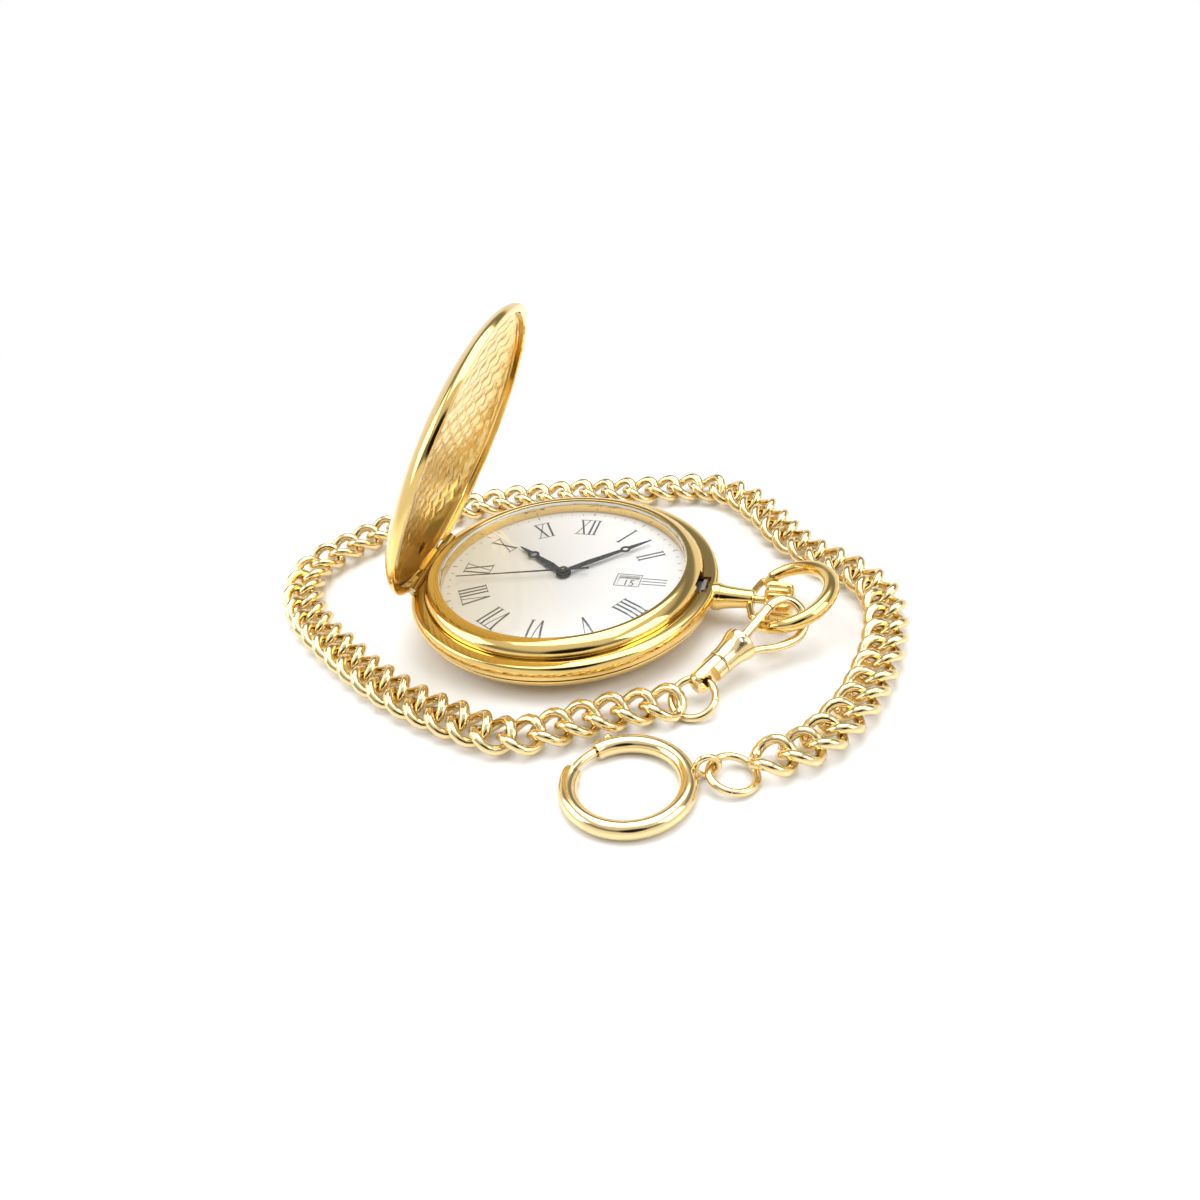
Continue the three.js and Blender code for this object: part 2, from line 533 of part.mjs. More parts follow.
function crown() {
  const flutes = 16;
  const points = [];
  for (let i = 0; i < flutes * 2; i++) {
    const angle = (i / (flutes * 2)) * 2 * Math.PI;
    const radius = CROWN_RADIUS - (i % 2) * 0.35;
    points.push([radius * Math.cos(angle), radius * Math.sin(angle)]);
  }
  const knob = alongX(prism(points, CROWN_X, CROWN_X + CROWN_LENGTH));
  const cone = [[0, CROWN_X - 0.1], [CROWN_RADIUS - 0.9, CROWN_X - 0.1], [CROWN_RADIUS, CROWN_X + 0.6],
    [CROWN_RADIUS, CROWN_X + CROWN_LENGTH - 0.9], [CROWN_RADIUS - 1, CROWN_X + CROWN_LENGTH], [0, CROWN_X + CROWN_LENGTH]];
  const sleeve = rod(SLEEVE_RADIUS, [FORK_X + 0.05, 0, STEM_Z], [CROWN_X + 0.5, 0, STEM_Z], 20);
  const bore = rod(STEM_RADIUS + 0.05, [FORK_X - 1, 0, STEM_Z], [NECK_END - 1, 0, STEM_Z]);
  return knob.intersect(alongX(turned(cone, 32))).add(sleeve).subtract(bore);
}

const STEM_IN = 7.2;
const SLIDER = { from: 8.2, to: 9.8, radius: 0.7 };
const STEM_GROOVE = [11.7, 12.4];
const LEVER_PIVOT = [10.5, 3.1];

function stem() {
  const end = NECK_END - 1 - CROWN_PUSH - GAP;
  const shaft = rod(STEM_RADIUS, [STEM_IN, 0, STEM_Z], [end, 0, STEM_Z]);
  const collar = (x) => rod(STEM_RADIUS + 0.35, [x, 0, STEM_Z], [x + 0.5, 0, STEM_Z]);
  return shaft.add(collar(STEM_GROOVE[0] - 0.5)).add(collar(STEM_GROOVE[1]));
}

function slidingPinion() {
  const { from, to, radius } = SLIDER;
  return alongX(gear(10, radius, from, to, STEM_RADIUS + 0.05));
}

function settingLever() {
  const [x, y] = LEVER_PIVOT;
  const z = [PLATE_BOTTOM - 0.35, PLATE_BOTTOM - 0.1];
  const groove = [STEM_GROOVE[0] + GAP, STEM_GROOVE[1] - GAP];
  const arm = prism([[groove[0], 0.4], [groove[1], 0.4], [x + 0.4, y + 0.5], [x - 0.5, y + 0.5], [x - 0.5, y - 0.4]], ...z);
  return arm.add(box(groove, [STEM_RADIUS + GAP, 1], [z[0], STEM_Z + 0.2]));
}

piece('setting_lever', settingLever(), STEEL);
piece('pendant', pendant(), GOLD);
piece('crown', crown(), GOLD);
piece('winding_stem', stem(), STEEL);
piece('sliding_pinion', slidingPinion(), STEEL);

// ---------- bow, drawn level about its pivots and tilted ----------

const bowGroup = new THREE.Group();
bowGroup.position.set(BOW_X, 0, STEM_Z);
bowGroup.rotation.y = -BOW_TILT;
watch.add(bowGroup);

function bow() {
  const reach = BOW_REACH - BOW_CENTRE;
  const last = Math.acos(-BOW_CENTRE / reach);
  const at = (angle) => [BOW_CENTRE + reach * Math.cos(angle), BOW_HALF_WIDTH * Math.sin(angle), 0];
  const path = smooth(Array.from({ length: 15 }, (_, i) => at(last * (-1 + (2 * i) / 14))));
  const radius = (t) => BOW_END + (BOW_WIRE - BOW_END) * Math.sin(Math.PI * t) ** 0.6;
  let body = tapered(path, radius, 18, 8);
  for (const side of [-1, 1]) {
    const end = at(side * last);
    body = body.add(solid(new THREE.SphereGeometry(BOW_END, 10, 6)).translate(end));
    body = body.add(rod(BOW_PIN, end, [end[0], side * (YOKE_HALF - YOKE_EYE / 2 + 0.05), 0]));
  }
  return body;
}

piece('bow', bow(), GOLD, bowGroup);

// ---------- swivel clip, drawn along +X from the nose of its swivel ----------

const clipAt = [BOW_X + CLIP_FROM_BOW[0], CLIP_FROM_BOW[1], STEM_Z + CLIP_FROM_BOW[2]];

function clipGroup(roll) {
  const group = new THREE.Group();
  group.position.set(...clipAt);
  group.rotation.set(roll, -CLIP_RISE, CLIP_AZIMUTH, 'ZYX');
  watch.add(group);
  return group;
}

const clip = clipGroup(CLIP_ROLL);
const clipSwivel = clipGroup(0);
const SEAM_AT = 5.3;
const BELL_END = 10.4;
const GATE_PIVOT = [9.3, 0.2];
const GATE_TIP = [17.1, 0.95];
const BELL_BORE = 1.05;
const STUD = 0.45;
const GATE_PIN = 0.3;
const SWIVEL_TONGUE = 1.7;
const EYE_AT = 1.8;

function clipBody() {
  const R = BELL_RADIUS;
  let body = alongX(turned([
    [0, SEAM_AT + GAP], [1.8, SEAM_AT + GAP], [1.9, SEAM_AT + 1.2], [R - 0.4, SEAM_AT + 2.8], [R, BELL_END - 0.7],
    [R, BELL_END - 0.3], [R - 0.25, BELL_END], [0, BELL_END],
  ], 24), 0, 0);
  body = body.subtract(rod(BELL_BORE, [SEAM_AT + 1.1, 0, 0], [BELL_END + 1, 0, 0], 24));
  body = body.subtract(rod(STUD + GAP, [SEAM_AT - 1, 0, 0], [SEAM_AT + 2, 0, 0], 20));
  const hook = smooth([
    [BELL_END - 0.5, -1.75, 0], [BELL_END + 1, -2.5, 0], [13.8, -4, 0], [16.9, -4.95, 0], [19.2, -4.4, 0],
    [20.6, -2.7, 0], [20.7, -0.9, 0], [19.9, 0.35, 0], [18.4, 0.95, 0], [17.3, 0.95, 0],
  ]);
  body = body.add(tapered(hook, (t) => HOOK_WIRE - 0.2 * (1 - t) ** 2, 18, 8));
  return body.subtract(rod(GATE_PIN + 0.05, [...GATE_PIVOT, -R], [...GATE_PIVOT, R]));
}

function clipGate() {
  const bar = rod(HOOK_WIRE - 0.05, [...GATE_PIVOT, 0], [...GATE_TIP, 0], 16);
  const root = rod(HOOK_WIRE - 0.05, [...GATE_PIVOT, -0.5], [...GATE_PIVOT, 0.5], 16);
  return bar.add(root).subtract(rod(GATE_PIN + 0.05, [...GATE_PIVOT, -2], [...GATE_PIVOT, 2]));
}

function swivelBase() {
  const neck = SWIVEL_RADIUS;
  let body = alongX(turned([
    [0, 0], [neck - 0.7, 0.1], [neck - 0.15, 0.6], [neck, 1.4], [neck + 0.05, SEAM_AT], [STUD, SEAM_AT],
    [STUD, SEAM_AT + 1.2], [STUD + 0.4, SEAM_AT + 1.2], [STUD + 0.4, SEAM_AT + 1.5], [0, SEAM_AT + 1.5],
  ], 24), 0, 0);
  for (const side of [-1, 1]) {
    const flat = [side * SWIVEL_TONGUE / 2, side * 3].sort((a, b) => a - b);
    body = body.subtract(box([-1, 3.7], flat, [-3, 3]));
  }
  return body.subtract(rod(1.05, [EYE_AT, -3, 0], [EYE_AT, 3, 0], 20));
}

piece('clip_body', clipBody(), PALE_GOLD, clip);
piece('clip_gate', clipGate(), PALE_GOLD, clip);
piece('gate_pin', rod(GATE_PIN, [...GATE_PIVOT, -BELL_RADIUS + 0.25], [...GATE_PIVOT, BELL_RADIUS - 0.25]), STEEL, clip);
piece('gate_spring', box([7.1, 8.5], [-0.62, -0.5], [-0.4, 0.4]), STEEL, clip);
piece('clip_swivel', swivelBase(), PALE_GOLD, clipSwivel);

// ---------- jump rings ----------

// A ring whose rim passes a given point, lying away from it at a heading and a slope
function jumpRing(name, rimAt, heading, slope) {
  const group = new THREE.Group();
  group.position.set(...rimAt);
  group.rotation.set(0, slope, heading, 'ZYX');
  watch.add(group);
  const body = solid(new THREE.TorusGeometry(JUMP_RING_RADIUS, JUMP_RING_WIRE, 8, 20));
  piece(name, body.translate([JUMP_RING_RADIUS, 0, 0]), PALE_GOLD, group);
}

watch.updateMatrixWorld(true);
const eye = clipSwivel.localToWorld(new THREE.Vector3(EYE_AT + 0.1, 0, 0)).toArray();
const ringSlope = Math.asin((eye[2] - JUMP_RING_WIRE - 0.05) / (2 * JUMP_RING_RADIUS));
jumpRing('clip_jump_ring', eye, THREE.MathUtils.degToRad(-106), ringSlope);

// ---------- bolt ring ----------

const boltRing = new THREE.Group();
boltRing.position.set(...BOLT_RING_AT, BOLT_RING_TUBE + 0.05);
watch.add(boltRing);
const BOLT = { closed: 171, mouth: 137, lug: 120.5, back: 60, travel: 36, bore: 0.72, radius: 0.6 };
const BOLT_EYE = { angle: 25, radius: 1.5, wire: 0.45, rise: 0.7 };

function arc(radius, wire, from, to, steps, sides = 10) {
  const points = Array.from({ length: steps + 1 }, (_, i) => {
    const angle = THREE.MathUtils.degToRad(from + ((to - from) * i) / steps);
    return [radius * Math.cos(angle), radius * Math.sin(angle), 0];
  });
  return tapered(smooth(points), () => wire, steps, sides);
}

function boltTube() {
  const R = BOLT_RING_RADIUS;
  let body = arc(R, BOLT_RING_TUBE, BOLT.closed + 1.2, 360 + BOLT.mouth, 28, 8);
  body = body.subtract(arc(R, BOLT.bore, BOLT.back - BOLT.travel - 20, BOLT.mouth + 3, 16, 8));
  body = body.subtract(arc(R + 1.2, 0.85, BOLT.lug - BOLT.travel - 6, BOLT.lug + 6, 10, 8));
  const loop = solid(new THREE.TorusGeometry(BOLT_EYE.radius, BOLT_EYE.wire, 8, 16)).rotate([90, 0, 0]);
  const out = R + BOLT_RING_TUBE + BOLT_EYE.radius;
  return body.add(loop.translate([out, 0, BOLT_EYE.rise]).rotate([0, 0, BOLT_EYE.angle]));
}

function boltSlider() {
  const R = BOLT_RING_RADIUS;
  const lug = rod(0.32, [R, 0, 0], [R + 1.6, 0, 0], 12).add(solid(new THREE.SphereGeometry(0.62, 10, 6)).translate([R + 1.75, 0, 0]));
  return arc(R, BOLT.radius, BOLT.back, BOLT.closed, 14, 8).add(lug.rotate([0, 0, BOLT.lug]));
}

piece('bolt_ring_tube', boltTube(), PALE_GOLD, boltRing);
piece('bolt_slider', boltSlider(), PALE_GOLD, boltRing);
piece('bolt_spring', arc(BOLT_RING_RADIUS, 0.5, BOLT.back - BOLT.travel - 17, BOLT.back - BOLT.travel - 3, 4), STEEL, boltRing);

watch.updateMatrixWorld(true);
const boltEyeAngle = THREE.MathUtils.degToRad(BOLT_EYE.angle);
const boltEyeOut = BOLT_RING_RADIUS + BOLT_RING_TUBE + BOLT_EYE.radius + 0.15;
const boltEye = boltRing.localToWorld(new THREE.Vector3(boltEyeOut * Math.cos(boltEyeAngle),
  boltEyeOut * Math.sin(boltEyeAngle), BOLT_EYE.rise - 0.1)).toArray();
const boltSlope = Math.asin((boltEye[2] - JUMP_RING_WIRE - 0.05) / (2 * JUMP_RING_RADIUS));
jumpRing('bolt_jump_ring', boltEye, THREE.MathUtils.degToRad(-5), boltSlope);

// ---------- chain: its route as it lies round the watch, in runs of plain flattened bar ----------

const CHAIN_ROUTE = [
  [21, -23.3], [16.4, -25.3], [12.4, -27.3], [8.8, -29.7], [4.7, -32.4], [-0.1, -33.2], [-5.8, -31.6], [-11.8, -29.6],
  [-17.6, -27], [-24, -23.3], [-30.2, -18.9], [-36.4, -14.2], [-41.5, -8.7], [-44.3, -3.3], [-44.9, 2.7], [-42.9, 7.2],
  [-40.2, 11.5], [-35.9, 16.8], [-30.3, 21.5], [-23.8, 25.1], [-18.1, 27.9], [-12, 29.9], [-6, 31.6], [-0.6, 32.6],
  [5.7, 33.8], [11.5, 35.4], [16.8, 35.6], [22.6, 32.8], [27.6, 27.4], [31.3, 22], [35, 18], [40.1, 14.3], [44.5, 10.9],
  [47.6, 6.4], [48.9, 0.1], [48.8, -7.1], [47.7, -14], [46.2, -19.6], [43.8, -24.6], [41, -28.6], [36.7, -31.6],
];
const CHAIN_RUNS = 4;
const CHAIN_STEPS = 19;

// The stretch of a curve between two lengths along it
class Stretch extends THREE.Curve {
  constructor(curve, from, to) {
    super();
    Object.assign(this, { curve, from, to, whole: curve.getLength() });
  }

  getPoint(t) {
    return this.curve.getPointAt(Math.min(1, (this.from + (this.to - this.from) * t) / this.whole));
  }
}

function chainRun(curve, index) {
  const run = curve.getLength() / CHAIN_RUNS;
  return flattened(new Stretch(curve, index * run + CORD_GAP / 2, (index + 1) * run - CORD_GAP / 2), CHAIN_STEPS);
}

// An oval bar along a level curve
function flattened(curve, steps) {
  const sides = 8;
  const section = new THREE.Shape(Array.from({ length: sides }, (_, j) => {
    const angle = ((j + 0.5) / sides) * 2 * Math.PI;
    const reach = 1 / Math.cos(Math.PI / sides);
    return new THREE.Vector2(CHAIN_HEIGHT / 2 * reach * Math.cos(angle), CHAIN_WIDTH / 2 * reach * Math.sin(angle));
  }));
  return solid(new THREE.ExtrudeGeometry(section, { steps, bevelEnabled: false, extrudePath: curve }));
}

const route = smooth(CHAIN_ROUTE.map(([x, y]) => [x, y, CHAIN_MIDDLE_Z]));
for (let i = 0; i < CHAIN_RUNS; i++) piece(`chain_run_${i + 1}`, chainRun(route, i), PALE_GOLD);

export default watch;
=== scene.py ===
"""A hunter pocket watch with its lid open, lying on its back inside a loop of curb chain."""

import math

import bpy
from mathutils import Matrix, Vector


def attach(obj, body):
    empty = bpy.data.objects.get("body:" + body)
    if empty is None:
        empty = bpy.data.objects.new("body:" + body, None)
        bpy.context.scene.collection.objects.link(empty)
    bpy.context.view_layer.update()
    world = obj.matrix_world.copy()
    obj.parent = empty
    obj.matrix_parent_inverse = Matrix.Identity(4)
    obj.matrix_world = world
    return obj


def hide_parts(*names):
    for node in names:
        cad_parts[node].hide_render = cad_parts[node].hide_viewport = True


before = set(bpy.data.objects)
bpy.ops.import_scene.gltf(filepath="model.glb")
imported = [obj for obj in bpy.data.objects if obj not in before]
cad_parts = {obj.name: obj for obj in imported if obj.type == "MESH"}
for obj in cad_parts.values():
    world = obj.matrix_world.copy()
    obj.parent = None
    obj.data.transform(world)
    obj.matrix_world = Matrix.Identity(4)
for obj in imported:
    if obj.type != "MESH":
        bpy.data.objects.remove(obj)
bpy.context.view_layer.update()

# ---------- camera ----------
# A close table-top view from the front right, a little above the watch, with a mild wide lens.
MM = 0.001
camera_data = bpy.data.cameras.new("camera")
camera_data.lens = 34.3
camera_data.sensor_width = 36
camera_data.clip_start = 0.005
camera = bpy.data.objects.new("camera", camera_data)
bpy.context.scene.collection.objects.link(camera)
view_right = Vector((0.96059, 0.26282, -0.09053)).normalized()
view_up = Vector((-0.07894, 0.57020, 0.81771)).normalized()
view_back = view_right.cross(view_up)
turn = Matrix((view_right, view_up, view_back)).transposed().to_4x4()
camera.matrix_world = Matrix.Translation(Vector((52.99, -138.81, 102.95)) * MM) @ turn
bpy.context.scene.camera = camera
bpy.context.scene.view_settings.view_transform = "Standard"


# ---------- curb chain ----------
# Open curb links of drawn brass wire, each twisted so that it lies flat through the next, and
# plated a paler gold than the case. The chain lies slack on the table round the watch.
CHAIN_ROUTE = [
    (21, -23.3), (16.4, -25.3), (12.4, -27.3), (8.8, -29.7), (4.7, -32.4), (-0.1, -33.2),
    (-5.8, -31.6), (-11.8, -29.6), (-17.6, -27), (-24, -23.3), (-30.2, -18.9), (-36.4, -14.2),
    (-41.5, -8.7), (-44.3, -3.3), (-44.9, 2.7), (-42.9, 7.2), (-40.2, 11.5), (-35.9, 16.8),
    (-30.3, 21.5), (-23.8, 25.1), (-18.1, 27.9), (-12, 29.9), (-6, 31.6), (-0.6, 32.6),
    (5.7, 33.8), (11.5, 35.4), (16.8, 35.6), (22.6, 32.8), (27.6, 27.4), (31.3, 22), (35, 18),
    (40.1, 14.3), (44.5, 10.9), (47.6, 6.4), (48.9, 0.1), (48.8, -7.1), (47.7, -14),
    (46.2, -19.6), (43.8, -24.6), (41, -28.6), (36.7, -31.6),
]
CHAIN_Z = 2.1
LINK_PITCH = 3.9
LINK_WIRE = 0.74
LINK_HALF_WIDTH = 3.4
LINK_POINTS = 22
LINK_LEAN = math.radians(2.5)
LINK_TWIST = math.radians(42)
END_SLACK = 0.3
PALE_GOLD = (0.82, 0.64, 0.33)


def gold_finish(name, colour, roughness, scale=1.0):
    """Plated gold: clouded colour, hairline polishing marks and a very faint ripple."""
    material = bpy.data.materials.new(name)
    material.use_nodes = True
    nodes, links = material.node_tree.nodes, material.node_tree.links
    shader = nodes["Principled BSDF"]
    shader.inputs["Metallic"].default_value = 1.0
    place = nodes.new("ShaderNodeTexCoord")
    cloud = nodes.new("ShaderNodeTexNoise")
    cloud.inputs["Scale"].default_value = 90 * scale
    cloud.inputs["Detail"].default_value = 4
    links.new(place.outputs["Object"], cloud.inputs["Vector"])
    tint = nodes.new("ShaderNodeMix")
    tint.data_type = "RGBA"
    tint.inputs["A"].default_value = (*[c * 0.95 for c in colour], 1)
    tint.inputs["B"].default_value = (*[min(1, c * 1.04) for c in colour], 1)
    links.new(cloud.outputs["Fac"], tint.inputs["Factor"])
    links.new(tint.outputs["Result"], shader.inputs["Base Color"])
    stretch = nodes.new("ShaderNodeMapping")
    stretch.inputs["Scale"].default_value = (1, 1, 9)
    links.new(place.outputs["Object"], stretch.inputs["Vector"])
    hairline = nodes.new("ShaderNodeTexNoise")
    hairline.inputs["Scale"].default_value = 1400 * scale
    hairline.inputs["Detail"].default_value = 5
    links.new(stretch.outputs["Vector"], hairline.inputs["Vector"])
    polish = nodes.new("ShaderNodeMapRange")
    polish.inputs["To Min"].default_value = roughness * 0.7
    polish.inputs["To Max"].default_value = roughness * 1.35
    links.new(hairline.outputs["Fac"], polish.inputs["Value"])
    links.new(polish.outputs["Result"], shader.inputs["Roughness"])
    ripple = nodes.new("ShaderNodeBump")
    ripple.inputs["Strength"].default_value = 0.12
    ripple.inputs["Distance"].default_value = 0.02 * MM
    links.new(hairline.outputs["Fac"], ripple.inputs["Height"])
    links.new(ripple.outputs["Normal"], shader.inputs["Normal"])
    return material


def only(piece):
    """Leaves one piece selected and active, in object mode."""
    bpy.ops.object.select_all(action="DESELECT")
    piece.select_set(True)
    bpy.context.view_layer.objects.active = piece


def drawn_wire(name, points, radius, closed=False, sides=3, shares=None):
    """A round wire along points in millimetres, with a share of the radius at each point."""
    line = bpy.data.curves.new(name, "CURVE")
    line.dimensions = "3D"
    line.bevel_depth = radius
    line.bevel_resolution = sides
    line.use_fill_caps = True
    spline = line.splines.new("POLY")
    spline.points.add(len(points) - 1)
    for i, (point, at) in enumerate(zip(spline.points, points)):
        point.co = (*at, 1)
        point.radius = shares[i] if shares else 1
    spline.use_cyclic_u = closed
    wire = bpy.data.objects.new(name, line)
    bpy.context.scene.collection.objects.link(wire)
    only(wire)
    bpy.ops.object.convert(target="MESH")
    wire = bpy.context.object
    bpy.ops.object.mode_set(mode="EDIT")
    bpy.ops.mesh.select_all(action="SELECT")
    bpy.ops.mesh.remove_doubles(threshold=1e-4)
    bpy.ops.mesh.normals_make_consistent(inside=False)
    bpy.ops.object.mode_set(mode="OBJECT")
    bpy.ops.object.shade_smooth_by_angle(angle=math.radians(40))
    return wire


def flowing(points, each=8, closed=False):
    """Points along the smooth curve that passes through the given ones."""
    points = [Vector(p) for p in points]
    if closed:
        ends = points[-1:], points[:1]
    else:
        ends = [points[0] * 2 - points[1]], [points[-1] * 2 - points[-2]]
    guide = ends[0] + points + ends[1] + (points[1:2] if closed else [])
    found = []
    for i in range(1, len(guide) - 2):
        a, b, c, d = guide[i - 1:i + 3]
        for k in range(each):
            t = k / each
            found.append(0.5 * (2 * b + (c - a) * t + (2 * a - 5 * b + 4 * c - d) * t ** 2
                                + (3 * b - 3 * c + d - a) * t ** 3))
    return found if closed else found + [points[-1]]


def settle(piece, *turns):
    """Turns a piece into place, in metres, with its place in its mesh."""
    place = Matrix.Scale(MM, 4)
    for turned in turns:
        place = place @ turned
    piece.data.transform(place @ piece.matrix_world)
    piece.matrix_world = Matrix.Identity(4)
    return piece


def copied(piece, name, turned):
    """A copy with a mesh of its own, turned by a matrix."""
    twin = bpy.data.objects.new(name, piece.data.copy())
    bpy.context.scene.collection.objects.link(twin)
    twin.data.transform(turned)
    return twin


def joined(name, parts):
    """Several meshes as one piece."""
    only(parts[0])
    for part in parts[1:]:
        part.select_set(True)
    bpy.ops.object.join()
    parts[0].name = name
    return parts[0]


def link_wire():
    """One closed link, twisted about its length."""
    half_length = LINK_PITCH / 2 + LINK_WIRE
    half_width = LINK_HALF_WIDTH - LINK_WIRE
    points = []
    for i in range(LINK_POINTS):
        angle = 2 * math.pi * i / LINK_POINTS
        x, reach = half_length * math.cos(angle), half_width * math.sin(angle)
        twist = LINK_TWIST * math.cos(angle)
        points.append((x, reach * math.cos(twist), reach * math.sin(twist)))
    return drawn_wire("link", points, LINK_WIRE, closed=True, sides=3)


route = flowing([(x, y, CHAIN_Z) for x, y in CHAIN_ROUTE], each=12)
travelled = [0.0]
for here, there in zip(route, route[1:]):
    travelled.append(travelled[-1] + (there - here).length)


def along_route(distance):
    """The point and the heading at a distance along the chain."""
    i = max(k for k, far in enumerate(travelled[:-1]) if far <= max(distance, 0))
    step = route[i + 1] - route[i]
    return route[i] + step.normalized() * (distance - travelled[i]), math.atan2(step.y, step.x)


first_link = link_wire()
count = round((travelled[-1] - 2 * END_SLACK) / LINK_PITCH) + 1
pitch = (travelled[-1] - 2 * END_SLACK) / (count - 1)
chain_links = []
for i in range(count):
    at, heading = along_route(END_SLACK + i * pitch)
    lean = LINK_LEAN * math.sin(2.1 * i)
    chain_links.append(copied(first_link, f"link_{i}", Matrix.Translation(at)
                              @ Matrix.Rotation(heading, 4, "Z") @ Matrix.Rotation(lean, 4, "X")))
bpy.data.objects.remove(first_link)
chain = settle(joined("curb_chain", chain_links))
pale_gold = gold_finish("pale_gold_plate", PALE_GOLD, 0.13)
chain.data.materials.clear()
chain.data.materials.append(pale_gold)
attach(chain, "case")
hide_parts("chain_run_1", "chain_run_2", "chain_run_3", "chain_run_4")


# ---------- bolt ring ----------
# A sprung ring of brass tube that fastens the chain. A thinner bolt slides in the tube, moved by
# a bead that stands out through a slot, and a soldered eye carries the last jump ring.
BOLT_RING_AT = (19.7, -38.7, 1.3)
BOLT_RING_RADIUS = 7.75
BOLT_RING_TUBE = 1.25
BOLT_CLOSED, BOLT_MOUTH, BOLT_LUG, BOLT_BACK, BOLT_TRAVEL = 171, 137, 120.5, 60, 36
BOLT_BORE, BOLT_WIRE = 0.74, 0.6
TUBE_LIP, COLLAR_IN, COLLAR_HALF = 1.2, 3.5, 0.6
SLOT_OUT, SLOT_WIRE = 1.2, 0.85
LUG_OUT, LUG_BEAD, LUG_NECK = 1.75, 0.6, 0.31
EYE_ANGLE, EYE_RADIUS, EYE_WIRE, EYE_RISE = 25, 1.5, 0.45, 0.7


def arc_points(radius, start, end, steps):
    """Level points round the Z axis, between two angles in degrees."""
    angles = [math.radians(start + (end - start) * i / steps) for i in range(steps + 1)]
    return [(radius * math.cos(a), radius * math.sin(a), 0) for a in angles]


def cut_by(piece, cutter, how="DIFFERENCE"):
    """Cuts a piece with another solid, or adds it, and drops the tool."""
    only(piece)
    cut = piece.modifiers.new("cut", "BOOLEAN")
    cut.operation = how
    cut.solver = "EXACT"
    cut.object = cutter
    bpy.ops.object.modifier_apply(modifier="cut")
    bpy.data.objects.remove(cutter)
    bpy.ops.object.shade_smooth_by_angle(angle=math.radians(35))
    return piece


def finished(piece, name, material, body, slot, *nodes):
    """Gives a piece its name, its finish and its place on the watch."""
    piece.name = name
    piece.data.name = name
    piece.data.materials.clear()
    piece.data.materials.append(material)
    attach(piece, body)
    if nodes:
        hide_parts(*nodes)
    return piece


bolt_place = Matrix.Translation(BOLT_RING_AT)
tube_end = BOLT_CLOSED + TUBE_LIP
tube_line = arc_points(BOLT_RING_RADIUS, tube_end, 360 + BOLT_MOUTH, 96)
tube = drawn_wire("tube", tube_line, BOLT_RING_TUBE, sides=6)
bore_line = arc_points(BOLT_RING_RADIUS, BOLT_BACK - BOLT_TRAVEL - 20, BOLT_MOUTH + 3, 40)
cut_by(tube, drawn_wire("bore", bore_line, BOLT_BORE, sides=4))
slot_line = arc_points(BOLT_RING_RADIUS + SLOT_OUT, BOLT_LUG - BOLT_TRAVEL - 6, BOLT_LUG + 6, 20)
cut_by(tube, drawn_wire("slot", slot_line, SLOT_WIRE, sides=3))
collar_at = tube_end + COLLAR_IN
collar_line = arc_points(BOLT_RING_RADIUS, collar_at - COLLAR_HALF, collar_at + COLLAR_HALF, 3)
cut_by(tube, drawn_wire("collar", collar_line, BOLT_RING_TUBE + 0.04, sides=6), "UNION")
settle(tube, bolt_place)
finished(tube, "bolt_ring", pale_gold, "case", "chain_gold", "bolt_ring_tube")

bpy.ops.object.select_all(action="DESELECT")
bpy.ops.mesh.primitive_torus_add(major_radius=EYE_RADIUS, minor_radius=EYE_WIRE,
                                 major_segments=40, minor_segments=14)
bolt_eye = bpy.context.object
bpy.ops.object.shade_smooth()
eye_out = BOLT_RING_RADIUS + BOLT_RING_TUBE + EYE_RADIUS - 0.15
settle(bolt_eye, bolt_place, Matrix.Rotation(math.radians(EYE_ANGLE), 4, "Z"),
       Matrix.Translation((eye_out, 0, EYE_RISE)), Matrix.Rotation(math.pi / 2, 4, "X"))
finished(bolt_eye, "bolt_ring_eye", pale_gold, "case", "chain_gold")

slider = drawn_wire("slider", arc_points(BOLT_RING_RADIUS, BOLT_BACK, BOLT_CLOSED, 50), BOLT_WIRE, sides=5)
bpy.ops.object.select_all(action="DESELECT")
bpy.ops.mesh.primitive_uv_sphere_add(segments=24, ring_count=14, radius=LUG_BEAD)
lug_bead = bpy.context.object
lug_bead.data.transform(Matrix.Translation((BOLT_RING_RADIUS + LUG_OUT, 0, 0)))
lug_neck = drawn_wire("neck", [(BOLT_RING_RADIUS, 0, 0), (BOLT_RING_RADIUS + 1.7, 0, 0)],
                      LUG_NECK, sides=3)
lug = cut_by(lug_bead, lug_neck, "UNION")
lug.data.transform(Matrix.Rotation(math.radians(BOLT_LUG), 4, "Z"))
cut_by(slider, lug, "UNION")
settle(slider, bolt_place)
finished(slider, "bolt_slide", pale_gold, "slider", "chain_gold", "bolt_slider")


# ---------- jump rings ----------
# Rings of plain brass wire that join the chain to the clip and the bolt ring. Each is wound, cut
# and bent shut so that its ends butt, and plated like the chain.
JUMP_RADIUS = 3.1
JUMP_WIRE = 0.55
JUMP_BUTT = 0.8
CLIP_AT = Vector((31.5 - 7.07, -20.18, 4.05 - 1.33))
CLIP_AZIMUTH, CLIP_RISE, CLIP_ROLL = math.radians(58), math.radians(11.6), math.radians(35)
SWIVEL_EYE = 1.8


def clip_turn(roll):
    """The clip's place, rolled about its own length."""
    return (Matrix.Translation(CLIP_AT) @ Matrix.Rotation(CLIP_AZIMUTH, 4, "Z")
            @ Matrix.Rotation(-CLIP_RISE, 4, "Y") @ Matrix.Rotation(roll, 4, "X"))


